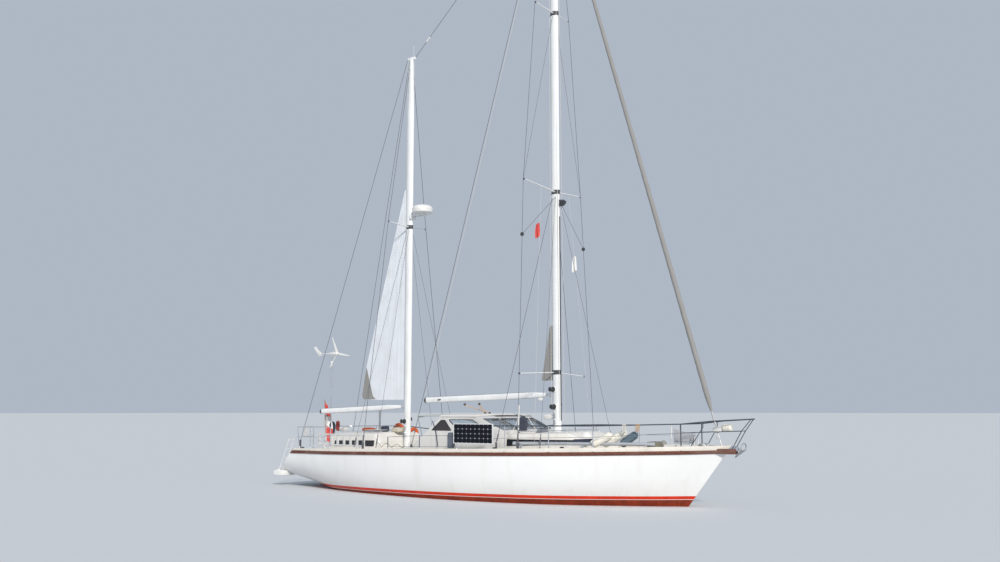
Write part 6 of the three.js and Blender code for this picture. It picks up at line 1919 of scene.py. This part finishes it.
for f in np.linspace(0, 1, 13):
    aft = Vector((2.820, -0.822, 1.505)).lerp((3.390, -0.770, 1.388), f)
    fore = Vector((3.580, -0.725, 1.540)).lerp((3.430, -0.765, 1.385), f)
    flap_grid.append([tuple(aft.lerp(fore, g) + Vector((0, -0.018 - 0.006 * math.sin(6 * g + 3 * f), 0)))
                      for g in np.linspace(0, 1, 11)])
flap = thick_sheet("fore_canvas_flap", flap_grid, 0.002, navy_canvas, slot="dark_canvas")
place("drum_guard", block((6.340, -0.062, 1.722), (6.545, 0.062, 1.835), 0.016, 3),
      white_plastic, slot="white_plastic")
struts = [[(6.420, side * 0.055, 1.728), (6.470, side * 0.085, 1.352)] for side in (-1, 1)]
struts += [[(6.545, 0.0, 1.752), (7.045, 0.0, 1.742)]]
place("drum_struts", tubes(struts, 0.009, pole_grey), pole_grey, slot="aluminium_tube")
posts_white = [[(5.920, -0.16, 1.425), (5.920, -0.16, 1.680)], [(5.880, 0.13, 1.425), (5.880, 0.13, 1.660)],
               [(5.285, -0.085, 1.440), (5.312, -0.080, 1.850)]]
place("locker_props", tubes(posts_white, 0.013, white_plastic), white_plastic, slot="white_plastic")
place("lid_stay", tubes([[(5.898, -0.232, 1.425), (5.930, -0.160, 1.670)]], 0.007, sleeve_grey),
      sleeve_grey, slot="stainless")


# Ropes and gear on deck
# Hanks of line hung over the rails, a slack line along the cabin side, deck cleats and
# fairleads, the canvas pouch by the panel and the strap on the doghouse wall.

# Cleats: distance from the deck's edge, length and places along the boat.
DECK_CLEATS = [(0.18, 0.26, (-5.30, 5.55)), (0.14, 0.22, (-1.45, 2.35))]
FAIRLEADS = [(1.530, -1), (3.250, -1), (1.530, 1), (3.250, 1), (-5.700, -1), (-5.700, 1)]


def hank(at, tall, deep, loops, step, lean=0.0):
    """The line of a rope hung in loops over a rail at a point, spread along the rail."""
    at = Vector(at)
    path = []
    for i in range(loops * 22 + 1):
        a = 2 * math.pi * i / 22
        drop = tall / 2 * (1 - math.cos(a)) * (1 + 0.10 * math.sin(i / 22 * 2.3))
        path.append(at + Vector((step * i / 22 + lean * drop, deep * math.sin(a)
                                 * (0.55 + 0.45 * min(1, drop / tall * 3)), 0.024 - drop)))
    return path


def line_piece(name, path, radius, material, body="root", slot="awning_cloth"):
    """A free rope along a path."""
    piece = place(name, tubes([path], radius, material, sides=8), material, body=body, slot=slot, angle=60)
    return piece


rope_blue = cloth("dark_rope", (0.03, 0.035, 0.06), dirt=(0.12, 0.12, 0.11), threads=2600.0, soiling=0.3,
                  folds=(20.0, 20.0, 20.0), bump=0.4, depth=0.002)
first_post, first_height = STARBOARD_POSTS[0]
rail_aft, rail_fore = rail_point(first_post, -1, first_height), rail_point(RAIL_START, -1, PULPIT_HIGH)
line_piece("bow_hank_white", hank(rail_aft.lerp(rail_fore, 0.34), 0.20, 0.050, 4, 0.026, 0.10),
           0.0065, rope_white)
line_piece("bow_hank_tan", hank(rail_aft.lerp(rail_fore, 0.50), 0.17, 0.045, 4, 0.026, -0.15),
           0.0060, rope_tan)
stern_loops = [Vector((-6.150 + 0.045 * math.sin(t), -0.85 + 0.010 * t, 1.745 - 0.15 * (1 - math.cos(t))))
               for t in np.linspace(0, 6 * math.pi, 80)]
line_piece("stern_hank", stern_loops, 0.0055, rope_white)
slack = [Vector((-3.05 + 1.0 * f, -1.06 - 0.03 * math.sin(3 * f),
                 1.205 + 0.13 * abs(math.cos(f * 8.5)) * (1 - 0.4 * f))) for f in np.linspace(0, 1, 60)]
line_piece("slack_line", slack, 0.0055, rope_blue)
cleats = []
for inset, length, places in DECK_CLEATS:
    for x in places:
        for side in (-1, 1):
            y = side * (deck_edge(x)[0] - inset)
            cleats.append(horn_cleat((x, y, deck_height(x, y) + 0.002), (1, 0, 0), (0, 0, 1), length))
place("deck_cleats", joined(cleats), galvanised, slot="stainless")
guides = []
for x, side in FAIRLEADS:
    beam, sheer = deck_edge(x)
    y, z = side * (beam - 0.026), sheer + toe_rail(x) + 0.016
    guides.append(turned((x - 0.05, y, z), (x + 0.05, y, z), [(0, 0.014), (0.5, 0.020), (1, 0.014)], 14))
place("toe_rail_fairleads", joined(guides), sleeve_grey, slot="stainless")
soft("side_pouch", bundle((0.075, -1.955, 1.270), (0.285, -1.860, 1.672), 7.0, 0.06, 0.35),
     cloth("grey_blue_canvas", (0.10, 0.12, 0.16), folds=(6.0, 6.0, 3.0), threads=1100.0,
           soiling=0.3, bump=0.7), 0.5)
strap_grid = [[(-0.958 + 0.285 * f + dx, -1.249 - 0.20 * max(0.0, f - 0.35) ** 1.2, 1.937 - 0.66 * f)
               for dx in (-0.014, 0.0, 0.014)] for f in np.linspace(0, 1, 12)]
strap = thick_sheet("wall_strap", strap_grid, 0.003, rope_blue, slot="dark_canvas")


# Hatch lids
# The main hatch lid stands open on two white props, under a fitted cover of navy canvas. The
# aft hatch lid is a smoked acrylic pane in a light frame, shut on the aft cabin top.

MAIN_LID_LOW, MAIN_LID_HIGH = Vector((1.374, -0.690, 1.698)), Vector((1.400, -0.285, 2.065))
AFT_LID_LOW, AFT_LID_HIGH = Vector((-4.300, -0.250, 1.612)), Vector((-3.800, 0.250, 1.640))
FRAME_INSET = Vector((0.012, 0.012, 0))

lid_parts = []
for f in np.linspace(0, 1, 13):
    tall = MAIN_LID_LOW.z + (MAIN_LID_HIGH.z - MAIN_LID_LOW.z) * f
    curve = math.sqrt(max(0.02, 1 - (max(0.0, f - 0.42) / 0.585) ** 2)) * (0.80 + 0.20 * min(1.0, f / 0.42))
    half = (MAIN_LID_HIGH.y - MAIN_LID_LOW.y) / 2 * curve
    mid_y = (MAIN_LID_HIGH.y + MAIN_LID_LOW.y) / 2
    lid_parts.append([
        (MAIN_LID_LOW.x + 0.001, mid_y - half, tall), (MAIN_LID_LOW.x + 0.001, mid_y + half, tall),
        (MAIN_LID_HIGH.x - 0.001, mid_y + half, tall), (MAIN_LID_HIGH.x - 0.001, mid_y - half, tall)])
lid_mesh = softened(lofted(lid_parts), 0.005, 2, 50)
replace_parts(place("main_hatch_cover", lid_mesh, navy_canvas, body="main_hatch_lid", slot="dark_canvas"),
            "main_hatch_lid")
hinge_barrels = [turned((1.387, y - 0.03, 1.694), (1.387, y + 0.03, 1.694), [(0, 0.009), (1, 0.009)], 14)
                 for y in (-0.60, -0.37)]
place("main_hatch_hinges", joined(hinge_barrels), stainless, body="main_hatch_lid", slot="stainless")
props = [[(1.382, -0.699, 1.985), (1.170, -0.702, 1.622)], [(1.392, -0.276, 2.030), (1.700, -0.274, 1.622)]]
hatch_props = place("main_hatch_props", tubes(props, 0.008, white_plastic), white_plastic,
                    body=None, slot="white_plastic")
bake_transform(hatch_props)
refined("aft_hatch_lid", "aft_hatch_pane", smoked, 0.006, "smoked_glass", 3)
frame_low, frame_high = AFT_LID_LOW + FRAME_INSET, AFT_LID_HIGH - FRAME_INSET
aft_frame = [(x, y, AFT_LID_HIGH.z) for x, y in ((frame_low.x, frame_low.y), (frame_high.x, frame_low.y),
                                                 (frame_high.x, frame_high.y), (frame_low.x, frame_high.y))]
place("aft_hatch_frame", tubes([aft_frame], 0.009, frame_white, bend=0.03, closed=True), frame_white,
      body="aft_hatch_lid", slot="aluminium_tube")


# Wind generator
# A white alternator pod on the stern pole, with a slim tail boom and a rounded fin, and three
# twisted plastic blades on a domed hub.

WIND_AT = Vector((*STERN_POLE, 3.930))
HUB_AHEAD, BLADES, BLADE_START = 0.230, 3, 25.0
# Rows of a blade: distance from the hub's centre, half chord and twist in degrees.
BLADE_ROWS = [(0.040, 0.034, 30.0), (0.110, 0.037, 24.0), (0.250, 0.030, 14.0), (0.400, 0.023, 9.0),
              (0.525, 0.016, 6.0), (0.540, 0.010, 6.0)]
FIN = [(-0.430, -0.040), (-0.560, -0.060), (-0.640, 0.040), (-0.725, 0.120), (-0.800, 0.215),
       (-0.770, 0.240), (-0.690, 0.238), (-0.610, 0.160), (-0.540, 0.095), (-0.470, 0.060)]


def wind_at(x, z, y=0.0):
    """A place given from the centre of the alternator."""
    return (WIND_AT.x + x, WIND_AT.y + y, WIND_AT.z + z)


def blade(rows, thick=0.011):
    """A twisted blade along +z, about the hub's centre."""
    rings = []
    for r, half, pitch in rows:
        turn_by = math.radians(pitch)
        ring = []
        for a in around(14):
            chordwise = half * math.cos(a)
            across = thick * 0.5 * math.sin(a) * (1.0 if math.cos(a) > 0 else 0.6)
            ring.append(Vector((chordwise * math.sin(turn_by) + across * math.cos(turn_by),
                                chordwise * math.cos(turn_by) - across * math.sin(turn_by), r)))
        rings.append(ring)
    return lofted(rings)


pod = [turned(wind_at(-0.130, 0), wind_at(0.190, 0), [
    (0, 0.018), (0.05, 0.034), (0.25, 0.044), (0.55, 0.056), (0.8, 0.0615), (0.93, 0.0615), (1, 0.052)], 32),
       turned(wind_at(-0.560, 0.010), wind_at(-0.120, 0), [(0, 0.013), (1, 0.0155)], 16),
       turned(wind_at(0, -0.068), wind_at(0, -0.010), [(0, 0.030), (0.5, 0.027), (1, 0.030)], 20),
       plate([wind_at(x, z)[::2] for x, z in FIN], WIND_AT.y - 0.004, WIND_AT.y + 0.004, 0.003, "xz")]
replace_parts(place("wind_pod", joined(pod), white_plastic, body="wind_head",
                  slot="white_plastic"), "wind_head")
hub_at = Vector(wind_at(HUB_AHEAD, 0))
wheel = [turned(hub_at - Vector((0.030, 0, 0)), hub_at + Vector((0.060, 0, 0)),
                [(0, 0.058), (0.1, 0.0615), (0.35, 0.058), (0.65, 0.045), (0.88, 0.026), (1, 0.008)], 30)]
for i in range(BLADES):
    one = blade(BLADE_ROWS)
    turn_by = Matrix.Rotation(math.radians(BLADE_START + 360 / BLADES * i), 4, "X")
    one.transform(Matrix.Translation(hub_at) @ turn_by)
    wheel.append(one)
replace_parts(place("wind_blades", joined(wheel), white_plastic, body="wind_rotor",
                  slot="white_plastic"), "wind_rotor")
place("pole_sleeve", turned((*STERN_POLE, 3.55), (*STERN_POLE, 3.70), [
    (0, 0.028), (0.1, 0.032), (0.9, 0.032), (1, 0.028)], 22), white_plastic, slot="white_plastic")


# Ladder and stern gear
# A folding ladder of white tube on the swim step, and what hangs on the pushpits: a striped
# ensign on its staff, horseshoe buoys, a danbuoy pole, lashed bundles and a small box.

LADDER_FOOT, LADDER_TOP, LADDER_SIDES = (-7.110, 0.455), (-6.710, 1.380), (-0.860, -0.660)
LADDER_RUNGS = (0.10, 0.38, 0.66, 0.94)
STAFF_FOOT, STAFF_HEAD = Vector((-6.270, 0.210, 1.080)), Vector((-6.390, 0.250, 2.530))


def horseshoe(at, across, tall, thick, material, name, lean=0.0):
    """A stuffed horseshoe-shaped buoy that hangs with its opening down, in the x-z plane."""
    at = Vector(at)
    rings = []
    for a in np.linspace(-0.25 * math.pi, 1.25 * math.pi, 30):
        spine = at + Vector((across / 2 * math.cos(a), lean * math.sin(a), tall / 2 * math.sin(a)))
        out = Vector((math.cos(a), 0, math.sin(a)))
        ring = [spine + out * thick * 0.62 * math.cos(t) + Vector((0, 1, 0)) * thick * 0.5 * math.sin(t)
                for t in around(16)]
        rings.append(ring)
    for end in (0, -1):
        centre = sum(rings[end], Vector()) / len(rings[end])
        rings[end] = [centre.lerp(p, 0.5) for p in rings[end]]
    return soft(name, lofted(rings), material, 0.9, slot="awning_cloth")


ladder_lines = [[(LADDER_FOOT[0], y, LADDER_FOOT[1]), (LADDER_TOP[0], y, LADDER_TOP[1])]
                for y in LADDER_SIDES]
rung_lines = []
for f in LADDER_RUNGS:
    x = LADDER_FOOT[0] + (LADDER_TOP[0] - LADDER_FOOT[0]) * f
    z = LADDER_FOOT[1] + (LADDER_TOP[1] - LADDER_FOOT[1]) * f
    rung_lines.append([(x, LADDER_SIDES[0], z), (x, LADDER_SIDES[1], z)])
pins = [[(LADDER_FOOT[0], LADDER_SIDES[0] - 0.040, LADDER_FOOT[1]),
         (LADDER_FOOT[0], LADDER_SIDES[1] + 0.040, LADDER_FOOT[1])]]
ladder_paint = weathered_material("ladder_paint", (0.74, 0.74, 0.72), 0.4, runs=0.3, scale=9.0,
                                  pitting=120.0, bump=0.1)
ladder_mesh = joined([tubes(ladder_lines, 0.0128, ladder_paint), tubes(rung_lines, 0.0102, ladder_paint),
                      tubes(pins, 0.0070, stainless)])
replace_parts(place("boarding_ladder_tubes", ladder_mesh, ladder_paint, body="boarding_ladder",
                  slot="white_plastic"), "boarding_ladder")

orange_cloth = cloth("orange_cover", (0.72, 0.12, 0.02), dirt=(0.30, 0.14, 0.08), folds=(12.0, 12.0, 8.0),
                     threads=1200.0, soiling=0.3, bump=0.6)
green_cloth = cloth("green_cloth", (0.05, 0.22, 0.20), dirt=(0.08, 0.1, 0.1), folds=(9.0, 9.0, 7.0),
                    threads=1200.0, soiling=0.3, bump=0.8)
red_cover = cloth("red_cover", (0.42, 0.05, 0.04), dirt=(0.16, 0.08, 0.07), folds=(12.0, 12.0, 8.0),
                  threads=1200.0, soiling=0.4, bump=0.7)
cream_cloth = cloth("cream_canvas", (0.56, 0.52, 0.43), dirt=(0.26, 0.23, 0.18), folds=(9.0, 9.0, 7.0),
                    threads=1100.0, soiling=0.4, bump=0.8)
staff = place("ensign_staff", tubes([[STAFF_FOOT, STAFF_HEAD]], 0.011, teak), teak, slot="teak")
for name, top_f, bottom_f, material in [("ensign_red", 0.02, 0.32, flag_red),
                                        ("ensign_white", 0.32, 0.58, flag_white),
                                        ("ensign_low_red", 0.58, 0.94, flag_red)]:
    grid = []
    for f in np.linspace(top_f, bottom_f, 13):
        line = STAFF_HEAD.lerp(STAFF_FOOT, 0.03 + 0.86 * f)
        spread = 0.10 + 0.30 * math.sin(min(1.0, f * 1.3) * math.pi * 0.75)
        grid.append([(line.x + spread * g * 0.55 + 0.012, line.y + 0.035 * math.sin(10 * g + 4 * f) * g
                      + 0.26 * spread * g, line.z - 0.12 * g) for g in np.linspace(0, 1, 17)])
    stripe = thick_sheet(name, grid, 0.0012, material, slot="awning_cloth")

horseshoe((-3.440, 0.95, 1.545), 0.250, 0.240, 0.085, orange_cloth, "horseshoe_fore")
horseshoe((-4.550, 1.560, 1.600), 0.330, 0.330, 0.095, orange_cloth, "horseshoe_aft")
place("danbuoy_pole", tubes([[(-4.985, 1.200, 1.300), (-5.005, 1.200, 2.320)]], 0.030, white_plastic,
                            sides=16), white_plastic, slot="white_plastic")

# Bags and bundles: two corners, a seed for the lumps, the cloth and how full it is.
gear = [("dark_lashed_bundle", (-6.345, 0.270, 1.420), (-6.115, 0.520, 1.900), 11.0, navy_canvas, 0.5),
        ("red_lashed_bundle", (-6.185, 0.500, 1.560), (-6.085, 0.640, 1.910), 12.0, red_cover, 0.5),
        ("orange_rolled_bag", (-5.700, 1.080, 1.560), (-5.130, 1.260, 1.690), 13.0, orange_cloth, 0.6),
        ("green_rolled_bag", (-5.640, 1.060, 1.440), (-5.180, 1.240, 1.570), 14.0, green_cloth, 0.6),
        ("dark_stern_bag", (-4.400, 0.500, 1.560), (-4.130, 0.740, 1.760), 15.0, navy_canvas, 0.5),
        ("cream_mast_bag", (-3.420, -0.200, 1.570), (-2.990, 0.230, 1.740), 16.0, cream_cloth, 0.5)]
for name, low, high, seed, material, fill in gear:
    soft(name, bundle(low, high, seed, 0.16, 0.6), material, fill)
place("stern_box", block((-6.440, 0.900, 1.560), (-6.180, 1.080, 1.690), 0.012, 3),
      white_plastic, slot="white_plastic")
